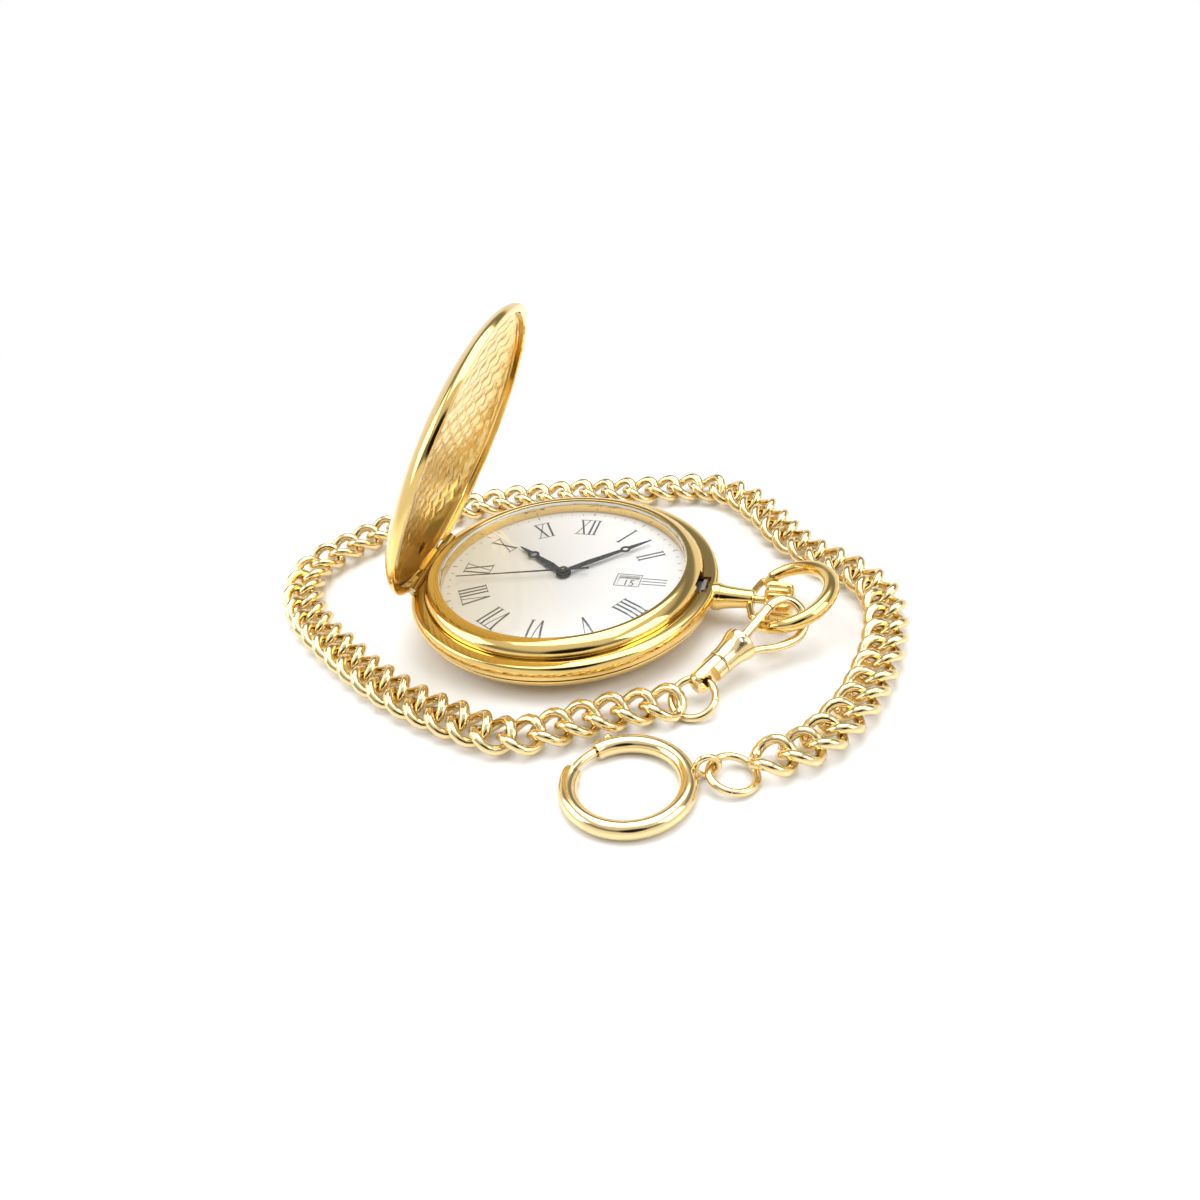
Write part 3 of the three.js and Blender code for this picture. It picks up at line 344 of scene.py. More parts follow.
def jump_ring(name, rim_at, heading, joint_angle, node):
    """A butted ring whose rim passes a point and which leans down to the table from there."""
    slope = math.asin((rim_at.z - JUMP_WIRE - 0.05) / (2 * JUMP_RADIUS))
    ring_line = arc_points(JUMP_RADIUS, joint_angle + JUMP_BUTT, joint_angle + 360 - JUMP_BUTT, 64)
    wire = drawn_wire(name, ring_line, JUMP_WIRE, sides=5)
    settle(wire, Matrix.Translation(rim_at), Matrix.Rotation(heading, 4, "Z"),
           Matrix.Rotation(slope, 4, "Y"), Matrix.Translation((JUMP_RADIUS, 0, 0)))
    return finished(wire, name, pale_gold, "case", "chain_gold", node)


swivel_eye = clip_turn(0) @ Vector((SWIVEL_EYE + 0.1, 0, 0))
jump_ring("jump_ring_clip", swivel_eye, math.radians(-106), 100, "clip_jump_ring")
eye_reach = BOLT_RING_RADIUS + BOLT_RING_TUBE + EYE_RADIUS + 0.15
bolt_eye_at = bolt_place @ Vector((eye_reach * math.cos(math.radians(EYE_ANGLE)),
                                   eye_reach * math.sin(math.radians(EYE_ANGLE)), EYE_RISE - 0.1))
jump_ring("jump_ring_bolt", bolt_eye_at, math.radians(-5), -78, "bolt_jump_ring")


# ---------- swivel clip ----------
# A turned brass bell on a slotted swivel nose. A drawn hook is set in the bell, and a sprung gate,
# pinned through the bell, closes against the hook's tip.
BELL_RADIUS, SEAM_AT, BELL_END = 2.55, 5.3, 10.4
NOSE_RADIUS, NOSE_TONGUE = 1.75, 1.7
GATE_PIVOT, GATE_TIP, GATE_WIRE, GATE_PIN = (9.3, 0.2), (17.1, 0.95), 0.7, 0.3
HOOK_WIRE = 0.75


def turned_shape(name, profile, steps=96, bevel=0.0, along_x=False):
    """A lathe-turned solid from a profile of (radius, height), with its sharp edges broken."""
    mesh = bpy.data.meshes.new(name)
    closed = profile[0][0] > 0
    edges = [(i, i + 1) for i in range(len(profile) - 1)] + ([(len(profile) - 1, 0)] if closed else [])
    mesh.from_pydata([(r, 0, z) for r, z in profile], edges, [])
    shape = bpy.data.objects.new(name, mesh)
    bpy.context.scene.collection.objects.link(shape)
    only(shape)
    bpy.ops.object.mode_set(mode="EDIT")
    bpy.ops.mesh.select_all(action="SELECT")
    bpy.ops.mesh.spin(steps=steps, angle=2 * math.pi, center=(0, 0, 0), axis=(0, 0, 1))
    bpy.ops.mesh.select_all(action="SELECT")
    bpy.ops.mesh.remove_doubles(threshold=1e-4)
    bpy.ops.mesh.normals_make_consistent(inside=False)
    bpy.ops.object.mode_set(mode="OBJECT")
    if along_x:
        shape.data.transform(Matrix.Rotation(math.pi / 2, 4, "Y"))
    if bevel:
        edge = shape.modifiers.new("edge", "BEVEL")
        edge.width = bevel
        edge.segments = 3
        edge.limit_method = "ANGLE"
        edge.angle_limit = math.radians(32)
        bpy.ops.object.modifier_apply(modifier="edge")
    bpy.ops.object.shade_smooth_by_angle(angle=math.radians(38))
    return shape


def block(low, high):
    """A plain cutting block between two corners."""
    bpy.ops.object.select_all(action="DESELECT")
    centre = [(a + b) / 2 for a, b in zip(low, high)]
    bpy.ops.mesh.primitive_cube_add(size=1, location=centre)
    tool = bpy.context.object
    tool.scale = [b - a for a, b in zip(low, high)]
    bpy.ops.object.transform_apply(location=True, rotation=False, scale=True)
    return tool


def smooth_profile(points, each=6):
    """A turned outline that flows through a few points of (radius, height)."""
    return [(p.x, p.y) for p in flowing([(r, z, 0) for r, z in points], each)]


bell_flare = smooth_profile([(1.9, SEAM_AT + 0.3), (1.9, SEAM_AT + 1.3), (2.12, SEAM_AT + 2.8),
                             (2.45, BELL_END - 1.15), (BELL_RADIUS, BELL_END - 0.6)])
bell = turned_shape("bell", [(0, SEAM_AT + 0.1), (1.75, SEAM_AT + 0.1), *bell_flare,
                             (BELL_RADIUS, BELL_END - 0.25), (2.3, BELL_END), (0, BELL_END)], 72, 0.08, True)
cut_by(bell, drawn_wire("bore", [(SEAM_AT + 1.1, 0, 0), (BELL_END + 1, 0, 0)], 1.05, sides=6))
hook_line = flowing([(BELL_END - 0.5, -1.75, 0), (BELL_END + 1, -2.5, 0), (13.8, -4, 0), (16.9, -4.95, 0),
                     (19.2, -4.4, 0), (20.6, -2.7, 0), (20.7, -0.9, 0), (19.9, 0.35, 0), (18.4, 0.95, 0),
                     (17.3, 0.95, 0)], 7)
hook_shares = [1 - 0.26 * (1 - i / (len(hook_line) - 1)) ** 2 for i in range(len(hook_line))]
hook = drawn_wire("hook", hook_line, HOOK_WIRE, sides=6, shares=hook_shares)
cut_by(bell, hook, "UNION")
cut_by(bell, drawn_wire("pin_hole", [(*GATE_PIVOT, -3), (*GATE_PIVOT, 3)], GATE_PIN + 0.04, sides=4))
settle(bell, clip_turn(CLIP_ROLL))
finished(bell, "clip_bell_and_hook", pale_gold, "case", "chain_gold", "clip_body")

gate_line = [Vector((*GATE_PIVOT, 0)).lerp(Vector((*GATE_TIP, 0)), i / 10) for i in range(11)]
gate = drawn_wire("gate", gate_line, GATE_WIRE, sides=6)
gate_root = drawn_wire("root", [(*GATE_PIVOT, -0.5), (*GATE_PIVOT, 0.5)], GATE_WIRE, sides=6)
cut_by(gate, gate_root, "UNION")
cut_by(gate, drawn_wire("pin_hole", [(*GATE_PIVOT, -2), (*GATE_PIVOT, 2)], GATE_PIN + 0.04, sides=4))
settle(gate, clip_turn(CLIP_ROLL))
finished(gate, "clip_gate_leg", pale_gold, "gate", "chain_gold", "clip_gate")

nose_side = smooth_profile([(0.75, 0.08), (1.25, 0.3), (1.6, 0.75), (NOSE_RADIUS, 1.5), (1.8, 3.2),
                            (1.8, SEAM_AT)])
swivel_stud = [(0.45, SEAM_AT), (0.45, SEAM_AT + 1.2), (0.85, SEAM_AT + 1.2), (0.85, SEAM_AT + 1.5),
               (0, SEAM_AT + 1.5)]
nose = turned_shape("nose", [(0, 0), *nose_side, *swivel_stud], 64, 0.05, True)
for low, high in ((-3, -NOSE_TONGUE / 2), (NOSE_TONGUE / 2, 3)):
    cut_by(nose, block((-1, low, -3), (3.7, high, 3)))
cut_by(nose, drawn_wire("eye", [(SWIVEL_EYE, -3, 0), (SWIVEL_EYE, 3, 0)], 1.05, sides=8))
settle(nose, clip_turn(0))
finished(nose, "clip_swivel_nose", pale_gold, "swivel", "chain_gold", "clip_swivel")


# ---------- case back ----------
# A shallow bowl spun from brass sheet, domed towards a flat on which the watch lies. It is
# polished, gold plated and snapped into the band from behind.
YELLOW_GOLD = (0.82, 0.58, 0.21)
yellow_gold = gold_finish("yellow_gold_plate", YELLOW_GOLD, 0.09)
back_outside = smooth_profile([(13, 0), (17.5, 0.33), (20.8, 1.15), (22.75, 2.2), (23.45, 3.15),
                               (23.55, 3.55)])
back_inside = [(22.12, 3.6), (22.12, 2.85), (21.2, 2.85), (20.3, 2.05), (17, 1.3), (12.5, 0.82),
               (0, 0.82)]
case_back = turned_shape("case_back_shell", [(0, 0), *back_outside, *back_inside], 160, 0.06)
settle(case_back)
finished(case_back, "case_back_shell", yellow_gold, "case", "case_gold", "case_back")


# ---------- case band ----------
# The middle of the case, turned from brass: a bulged outside, a flat ledge that the lid shuts on,
# a window in the ledge for the catch, and a recess with two knuckles for the hinge.
HINGE_X, HINGE_Z, HINGE_HALF = -22.1, 6.1, 8.2
KNUCKLE_HALF, KNUCKLE_RADIUS, PIN_RADIUS = 3.0, 0.7, 0.3
WINDOW_HALF = 2.0
band_outside = smooth_profile([(23.5, 3.68), (23.86, 4.05), (24, 4.72), (23.9, 5.35), (23.6, 5.92),
                               (23.3, 6.1)])
band = turned_shape("band", [(20.6, 3.1), (22, 3.1), (22, 3.66), *band_outside, (21.72, 6.1), (21.72, 5.7),
                             (20.6, 5.7)], 180, 0.05)
cut_by(band, block((21.0, -WINDOW_HALF, 5.1), (22.9, WINDOW_HALF, 7.2)))
cut_by(band, block((19.6, -WINDOW_HALF, 5.0), (22.0, WINDOW_HALF, 7.2)))
cut_by(band, block((-25.5, -HINGE_HALF - 0.4, 5.0),
                   (HINGE_X - KNUCKLE_RADIUS - 0.05, HINGE_HALF + 0.4, 7.2)))
hinge_seat = [(HINGE_X, -HINGE_HALF - 0.1, HINGE_Z), (HINGE_X, HINGE_HALF + 0.1, HINGE_Z)]
cut_by(band, drawn_wire("seat", hinge_seat, KNUCKLE_RADIUS + 0.06, sides=8))
cut_by(band, drawn_wire("stem_hole", [(19, 0, 4.05), (25.5, 0, 4.05)], 0.7, sides=6))
settle(band)
finished(band, "case_band_ring", yellow_gold, "case", "case_gold", "case_band")


# ---------- hinge ----------
# Two outer knuckles of brass tube, soldered to the band, and a middle one on the lid. A steel pin
# driven through all three holds the lid.
def knuckle(name, start, end, body):
    """A bored tube on the hinge line, between two places along it."""
    tube_piece = drawn_wire(name, [(HINGE_X, start + (end - start) * i / 4, HINGE_Z) for i in range(5)],
                            KNUCKLE_RADIUS, sides=8)
    cut_by(tube_piece, drawn_wire("hole", [(HINGE_X, start - 1, HINGE_Z), (HINGE_X, end + 1, HINGE_Z)],
                                  PIN_RADIUS + 0.04, sides=6))
    settle(tube_piece)
    return finished(tube_piece, name, yellow_gold, body, "case_gold")


knuckle("case_knuckle_front", -HINGE_HALF, -KNUCKLE_HALF - 0.1, "case")
knuckle("case_knuckle_rear", KNUCKLE_HALF + 0.1, HINGE_HALF, "case")


# ---------- bezel ----------
# A convex brass ring, turned and polished, with a thin lip that holds the glass. It is pressed on
# to the band, and notched for the catch and the hinge.
bezel_outside = smooth_profile([(21.62, 6.35), (21.52, 6.85), (21.1, 7.38), (20.45, 7.84),
                                (19.85, 8.08), (19.45, 8.1)])
glass_seat = [(19.2, 8.08), (19.1, 7.98), (19.38, 7.94), (19.38, 7.15), (18.86, 7.15)]
bezel = turned_shape("bezel_ring", [(18.86, 5.7), (21.64, 5.7), *bezel_outside, *glass_seat], 180, 0.04)
cut_by(bezel, block((20.75, -WINDOW_HALF, 4.6), (22.8, WINDOW_HALF, 7.2)))
cut_by(bezel, block((-22.8, -HINGE_HALF - 0.2, 4.6),
                    (HINGE_X + KNUCKLE_RADIUS + 0.12, HINGE_HALF + 0.2, 6.95)))
settle(bezel)
finished(bezel, "bezel_ring", yellow_gold, "case", "case_gold", "bezel")


# ---------- crystal ----------
# A flat mineral glass, cut round and polished clear, with a bevelled edge. It is pressed into the
# bezel on a nylon seal and stands just proud of the lip.
def clear_glass():
    """A clear polished glass that lets light and shadow through to the dial."""
    material = bpy.data.materials.new("mineral_glass")
    material.use_nodes = True
    nodes, links = material.node_tree.nodes, material.node_tree.links
    shader = nodes["Principled BSDF"]
    shader.inputs["Base Color"].default_value = (0.985, 0.993, 0.99, 1)
    shader.inputs["Transmission Weight"].default_value = 1.0
    shader.inputs["IOR"].default_value = 1.05
    shader.inputs["Coat Weight"].default_value = 1.0
    shader.inputs["Coat Roughness"].default_value = 0.01
    place = nodes.new("ShaderNodeTexCoord")
    haze = nodes.new("ShaderNodeTexNoise")
    haze.inputs["Scale"].default_value = 260
    links.new(place.outputs["Object"], haze.inputs["Vector"])
    film = nodes.new("ShaderNodeMapRange")
    film.inputs["To Min"].default_value = 0.0
    film.inputs["To Max"].default_value = 0.02
    links.new(haze.outputs["Fac"], film.inputs["Value"])
    links.new(film.outputs["Result"], shader.inputs["Roughness"])
    through = nodes.new("ShaderNodeBsdfTransparent")
    rays = nodes.new("ShaderNodeLightPath")
    either = nodes.new("ShaderNodeMath")
    either.operation = "MAXIMUM"
    links.new(rays.outputs["Is Shadow Ray"], either.inputs[0])
    links.new(rays.outputs["Is Diffuse Ray"], either.inputs[1])
    mixed = nodes.new("ShaderNodeMixShader")
    links.new(either.outputs["Value"], mixed.inputs["Fac"])
    links.new(shader.outputs["BSDF"], mixed.inputs[1])
    links.new(through.outputs["BSDF"], mixed.inputs[2])
    links.new(mixed.outputs["Shader"], nodes["Material Output"].inputs["Surface"])
    return material


glass = clear_glass()
crystal_side = [(0, 7.15), (19, 7.15), (19, 7.88), (18.45, 8.18), (17.7, 8.25), (0, 8.25)]
crystal = turned_shape("crystal_glass", crystal_side, 160, 0.05)
settle(crystal)
finished(crystal, "crystal_glass", glass, "case", "crystal_glass", "crystal")


# ---------- dial ----------
# A brass plate, lacquered satin silver-white, with a cut-out for the date. Its numerals, minute
# track and window frame are printed in dark grey.
DIAL_TOP = 5.6
TRACK_RADIUS = 17.7
DATE_X, DATE_WIDTH, DATE_HEIGHT = 10.3, 3.4, 2.6


def plain_finish(name, colour, roughness, metallic=0.0, mottle=0.04, scale=300, bump=0.1, stretch=(1, 1, 1)):
    """A lacquered, moulded or ground surface: slight mottling of its colour, gloss and height."""
    material = bpy.data.materials.new(name)
    material.use_nodes = True
    nodes, links = material.node_tree.nodes, material.node_tree.links
    shader = nodes["Principled BSDF"]
    shader.inputs["Metallic"].default_value = metallic
    place = nodes.new("ShaderNodeTexCoord")
    along = nodes.new("ShaderNodeMapping")
    along.inputs["Scale"].default_value = stretch
    links.new(place.outputs["Object"], along.inputs["Vector"])
    grain = nodes.new("ShaderNodeTexNoise")
    grain.inputs["Scale"].default_value = scale
    grain.inputs["Detail"].default_value = 5
    links.new(along.outputs["Vector"], grain.inputs["Vector"])
    tint = nodes.new("ShaderNodeMix")
    tint.data_type = "RGBA"
    tint.inputs["A"].default_value = (*[c * (1 - mottle) for c in colour], 1)
    tint.inputs["B"].default_value = (*[min(1, c * (1 + mottle)) for c in colour], 1)
    links.new(grain.outputs["Fac"], tint.inputs["Factor"])
    links.new(tint.outputs["Result"], shader.inputs["Base Color"])
    gloss = nodes.new("ShaderNodeMapRange")
    gloss.inputs["To Min"].default_value = roughness * 0.85
    gloss.inputs["To Max"].default_value = roughness * 1.15
    links.new(grain.outputs["Fac"], gloss.inputs["Value"])
    links.new(gloss.outputs["Result"], shader.inputs["Roughness"])
    relief = nodes.new("ShaderNodeBump")
    relief.inputs["Strength"].default_value = bump
    relief.inputs["Distance"].default_value = 0.02 * MM
    links.new(grain.outputs["Fac"], relief.inputs["Height"])
    links.new(relief.outputs["Normal"], shader.inputs["Normal"])
    return material


def coated(node, material):
    """A carried-over solid with a finish of its own."""
    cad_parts[node].data.materials.clear()
    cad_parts[node].data.materials.append(material)


coated("dial", plain_finish("dial_lacquer", (0.86, 0.86, 0.87), 0.42, mottle=0.012, scale=900, bump=0.05))
print_ink = plain_finish("dial_ink", (0.055, 0.06, 0.075), 0.4, mottle=0.1, scale=2500, bump=0.15)


def printed(name, shapes, body="case", low=DIAL_TOP + 0.005, high=DIAL_TOP + 0.03):
    """Ink standing a hair's breadth on the dial: flat outlines in millimetres, given their thickness."""
    mesh = bpy.data.meshes.new(name)
    corners, faces = [], []
    for shape in shapes:
        faces.append(list(range(len(corners), len(corners) + len(shape))))
        corners += [(x, y, low) for x, y in shape]
    mesh.from_pydata(corners, [], faces)
    print_piece = bpy.data.objects.new(name, mesh)
    bpy.context.scene.collection.objects.link(print_piece)
    only(print_piece)
    bpy.ops.object.mode_set(mode="EDIT")
    bpy.ops.mesh.select_all(action="SELECT")
    bpy.ops.mesh.normals_make_consistent(inside=False)
    bpy.ops.mesh.extrude_region_move(TRANSFORM_OT_translate={"value": (0, 0, high - low)})
    bpy.ops.mesh.select_all(action="SELECT")
    bpy.ops.mesh.normals_make_consistent(inside=False)
    bpy.ops.object.mode_set(mode="OBJECT")
    settle(print_piece)
    return finished(print_piece, name, print_ink, body, "hands_dark")


NUMERALS = ["XII", "I", "II", "III", "IIII", "V", "VI", "VII", "VIII", "IX", "X", "XI"]
NUMERAL_FOOT, NUMERAL_HEAD = 11.9, 16.3
THICK, THIN, SERIF = 0.31, 0.14, 0.11
STROKE_IN, SERIF_IN = 0.38, 0.06
LETTER_WIDTH = {"I": 0.82, "V": 2.1, "X": 2.1}


def bar(x0, y0, x1, y1, width):
    """One pen stroke, level at its ends."""
    half = width / 2
    return [(x0 - half, y0), (x0 + half, y0), (x1 + half, y1), (x1 - half, y1)]


def letter_strokes(letter, x, foot, head):
    """The strokes of one letter, one thick and one thin where it has two."""
    width = LETTER_WIDTH[letter]
    mid, left, right = x + width / 2, x + STROKE_IN, x + width - STROKE_IN
    if letter == "I":
        return [bar(mid, foot + SERIF, mid, head - SERIF, THICK)]
    if letter == "V":
        return [bar(mid, foot, left, head - SERIF, THICK),
                bar(mid + 0.02, foot, right, head - SERIF, THIN)]
    return [bar(right, foot + SERIF, left, head - SERIF, THICK),
            bar(left, foot + SERIF, right, head - SERIF, THIN)]


def numeral_strokes(text, foot, head):
    """A condensed Roman numeral, centred on the Y axis, with one rule along its head and its foot."""
    total = sum(LETTER_WIDTH[c] for c in text)
    x, strokes = -total / 2, []
    for letter in text:
        strokes += letter_strokes(letter, x, foot, head)
        width = LETTER_WIDTH[letter]
        serifs = [(head, head - SERIF)] + ([] if letter == "V" else [(foot + SERIF, foot)])
        for top, bottom in serifs:
            low_x, high_x = x + SERIF_IN, x + width - SERIF_IN
            strokes.append([(low_x, bottom), (high_x, bottom), (high_x, top), (low_x, top)])
        x += width
    return strokes


def round_dial(shape, angle):
    """An outline turned about the middle of the dial."""
    c, s = math.cos(angle), math.sin(angle)
    return [(x * c - y * s, x * s + y * c) for x, y in shape]


for hour, text in enumerate(NUMERALS):
    strokes = numeral_strokes(text, NUMERAL_FOOT, NUMERAL_HEAD)
    if text == "III":
        strokes = [bar(x, DATE_X + 2.15, x, NUMERAL_HEAD, THICK * 0.5) for x in (-0.72, 0, 0.72)]
    turned_by = -hour * math.pi / 6
    printed(f"numeral_{hour or 12}", [round_dial(stroke, turned_by) for stroke in strokes])

HOUR_TICK, MINUTE_TICK = (0.75, 0.13), (0.42, 0.07)
ticks = []
for minute in range(60):
    length, width = HOUR_TICK if minute % 5 == 0 else MINUTE_TICK
    tick = [(-width / 2, TRACK_RADIUS), (width / 2, TRACK_RADIUS), (width / 2, TRACK_RADIUS + length),
            (-width / 2, TRACK_RADIUS + length)]
    ticks.append(round_dial(tick, -minute * math.pi / 30))
printed("minute_track", ticks)


def frame_lines(half_x, half_y, width):
    """Four ruled lines round the date window."""
    x0, x1 = DATE_X - half_x, DATE_X + half_x
    low, high = -half_y + width, half_y - width
    return [[(x0, -half_y), (x1, -half_y), (x1, low), (x0, low)],
            [(x0, high), (x1, high), (x1, half_y), (x0, half_y)],
            [(x0, low), (x0 + width, low), (x0 + width, high), (x0, high)],
            [(x1 - width, low), (x1, low), (x1, high), (x1 - width, high)]]


FRAME_OUT, FRAME_LINE = 0.3, 0.12
printed("date_window_frame", frame_lines(DATE_WIDTH / 2 + FRAME_OUT, DATE_HEIGHT / 2 + FRAME_OUT, FRAME_LINE))


# ---------- date ring ----------
# A white moulded nylon ring that carries the days of the month past the window in the dial. The
# figures are printed on it in the dial's ink.
coated("date_ring", plain_finish("date_ring_white", (0.8, 0.8, 0.79), 0.5, mottle=0.02, scale=700, bump=0.1))
DAYS, SHOWN_DAY, FIGURE_SIZE, FIGURE_Z, FIGURE_NARROW = 31, 15, 2.2, 5.1, 0.85
bpy.ops.object.select_all(action="DESELECT")
days = []
for day in range(DAYS):
    bpy.ops.object.text_add()
    figure = bpy.context.object
    figure.data.body = str((SHOWN_DAY - 1 + day) % DAYS + 1)
    figure.data.size = FIGURE_SIZE
    figure.data.align_x = "CENTER"
    figure.data.align_y = "CENTER"
    figure.data.resolution_u = 2
    figure.data.extrude = 0.008
    only(figure)
    bpy.ops.object.convert(target="MESH")
    figure = bpy.context.object
    figure.data.transform(Matrix.Rotation(-2 * math.pi * day / DAYS, 4, "Z")
                          @ Matrix.Translation((DATE_X, 0, FIGURE_Z))
                          @ Matrix.Scale(FIGURE_NARROW, 4, Vector((1, 0, 0))))
    days.append(figure)
date_figures = settle(joined("date_figures", days))
finished(date_figures, "date_figures", print_ink, "date", "hands_dark")


# ---------- hands ----------
# Stamped steel hands, lacquered dark grey: an hour and a minute hand pierced with a ring near the
# tip, and a slim seconds hand on top.
hand_lacquer = plain_finish("hand_lacquer", (0.06, 0.062, 0.07), 0.28, metallic=0.6, mottle=0.08, scale=1500)
for hand_node in ("hour_hand", "minute_hand", "second_hand"):
    coated(hand_node, hand_lacquer)


# ---------- lid ----------
# A domed cover spun from brass with a rolled rim, polished outside. It is drawn closed and swung
# open about the hinge.
LID_OPEN = math.radians(66)
LID_RADIUS, LID_INNER, LID_Z = 23.2, 21.9, 6.18
lid_swing = (Matrix.Translation((HINGE_X, 0, HINGE_Z)) @ Matrix.Rotation(-LID_OPEN, 4, "Y")
             @ Matrix.Translation((-HINGE_X, 0, -HINGE_Z)))


def dome_line(radius, base, rise, start, steps=28):
    """Half a dome's profile, from an angle above its rim up to the axis."""
    angles = [start + (math.pi / 2 - start) * i / steps for i in range(steps + 1)]
    line = [(radius * math.cos(a), base + rise * math.sin(a)) for a in angles]
    return line[:-1] + [(0, base + rise)]


INNER_BASE, INNER_RISE, OUTER_BASE, OUTER_RISE = 0.85, 3.55, 0.5, 4.5
shell_profile = (dome_line(LID_INNER, LID_Z + INNER_BASE, INNER_RISE, 0.0)[::-1]
                 + [(LID_INNER, LID_Z + 0.2), (LID_INNER + 0.15, LID_Z), (LID_RADIUS - 0.25, LID_Z),
                    (LID_RADIUS - 0.06, LID_Z + 0.1)]
                 + dome_line(LID_RADIUS, LID_Z + OUTER_BASE, OUTER_RISE, 0.0))
lid_shell = turned_shape("lid_cover", shell_profile, 180)
cut_by(lid_shell, block((-25, -HINGE_HALF - 0.2, 5),
                        (HINGE_X + KNUCKLE_RADIUS + 0.15, HINGE_HALF + 0.2,
                         HINGE_Z + KNUCKLE_RADIUS + 0.15)))
settle(lid_shell, lid_swing)
finished(lid_shell, "lid_cover", yellow_gold, "lid", "case_gold", "lid_shell")

knuckle("lid_knuckle", -KNUCKLE_HALF, KNUCKLE_HALF, "lid")
lid_leaf_mesh = bpy.data.meshes.new("lid_leaf")
leaf_line = [(-0.35, 0.3), (0.5, 0.3), (0.62, 1.5), (2.6, 2.25), (5.4, 3.2), (5.4, 3.5), (2.5, 2.7),
             (-0.35, 1.35)]
leaf_side = [(x, -KNUCKLE_HALF, z) for x, z in leaf_line]
lid_leaf_mesh.from_pydata(leaf_side, [], [tuple(range(len(leaf_side)))])
lid_leaf = bpy.data.objects.new("lid_leaf", lid_leaf_mesh)
bpy.context.scene.collection.objects.link(lid_leaf)
only(lid_leaf)
bpy.ops.object.mode_set(mode="EDIT")
bpy.ops.mesh.select_all(action="SELECT")
bpy.ops.mesh.extrude_region_move(TRANSFORM_OT_translate={"value": (0, 2 * KNUCKLE_HALF, 0)})
bpy.ops.mesh.select_all(action="SELECT")
bpy.ops.mesh.normals_make_consistent(inside=False)
bpy.ops.object.mode_set(mode="OBJECT")
settle(lid_leaf, lid_swing, Matrix.Translation((HINGE_X, 0, HINGE_Z)))
finished(lid_leaf, "lid_hinge_leaf", yellow_gold, "lid", "case_gold")


# ---------- lid liner ----------
# Thin brass sheet, pressed into the lid and held by its rim. It is hammered in a basket weave of
# small scales, with a plain plate by the hinge.
LINER_RADIUS, SCALE_LONG, SCALE_SHORT, SCALE_DEPTH = 21.75, 3.2, 1.9, 0.17
LINER_LIFT, PLAIN_RIM, PLATE_LIFT = 0.12, 0.35, 0.16
PLATE_EDGE = HINGE_X + 5


def liner_height(x, y, lift=0.0):
    """The height of the sheet's face under the closed lid, less what stands proud of it."""
    r = min(math.hypot(x, y) / LID_INNER, 0.999)
    return LID_Z + INNER_BASE + INNER_RISE * math.sqrt(1 - r * r) - LINER_LIFT - lift


def hammered(along, across_rows):
    """How far a scale stands proud: each is tilted, its high edge over its neighbour."""
    row = math.floor(across_rows / SCALE_SHORT)
    across = along / SCALE_LONG + 0.5 * (row % 2)
    u, v = across - math.floor(across), across_rows / SCALE_SHORT - row
    tilt = u if (row % 2) else 1 - u
    round_off = min(1, 6 * min(u, 1 - u), 5 * min(v, 1 - v))
    return SCALE_DEPTH * (0.35 + 0.65 * tilt) * round_off


liner_mesh = bpy.data.meshes.new("lid_liner")
RINGS, SPOKES = 84, 300
points = [(0, 0, liner_height(0, 0, hammered(0, 0)))]
for i in range(1, RINGS + 1):
    r = LINER_RADIUS * i / RINGS
    for k in range(SPOKES):
        a = 2 * math.pi * k / SPOKES
        x, y = r * math.cos(a), r * math.sin(a)
        if x < PLATE_EDGE:
            lift = PLATE_LIFT
        elif r > LINER_RADIUS - PLAIN_RIM:
            lift = 0.0
        else:
            lift = hammered(y, x)
        points.append((x, y, liner_height(x, y, lift)))
faces = [(0, 1 + (k + 1) % SPOKES, 1 + k) for k in range(SPOKES)]
for i in range(RINGS - 1):
    for k in range(SPOKES):
        a, b = 1 + i * SPOKES + k, 1 + i * SPOKES + (k + 1) % SPOKES
        faces.append((a, b, b + SPOKES, a + SPOKES))
liner_mesh.from_pydata(points, [], faces)
liner = bpy.data.objects.new("lid_liner_sheet", liner_mesh)
bpy.context.scene.collection.objects.link(liner)
only(liner)
wall = liner.modifiers.new("wall", "SOLIDIFY")
wall.thickness = 0.1
wall.offset = 1
bpy.ops.object.mode_set(mode="EDIT")
bpy.ops.mesh.select_all(action="SELECT")
bpy.ops.mesh.normals_make_consistent(inside=False)
bpy.ops.object.mode_set(mode="OBJECT")
bpy.ops.object.modifier_apply(modifier="wall")
bpy.ops.object.shade_smooth()
settle(liner, lid_swing)
hammered_gold = gold_finish("hammered_gold", (0.80, 0.61, 0.26), 0.2, 2.0)
finished(liner, "lid_liner_sheet", hammered_gold, "lid", "case_gold", "lid_liner")


# ---------- catch and springs ----------
# Blue-white spring steel: the catch in its window, the two case springs beside the movement, and
# the hinge pin.
spring_steel = plain_finish("spring_steel", (0.62, 0.63, 0.65), 0.24, metallic=1.0, mottle=0.06, scale=500,
                            bump=0.25, stretch=(1, 12, 1))
for steel_node in ("catch_latch", "lid_spring", "lock_spring", "hinge_pin", "gate_pin", "gate_spring",
                   "bolt_spring"):
    coated(steel_node, spring_steel)


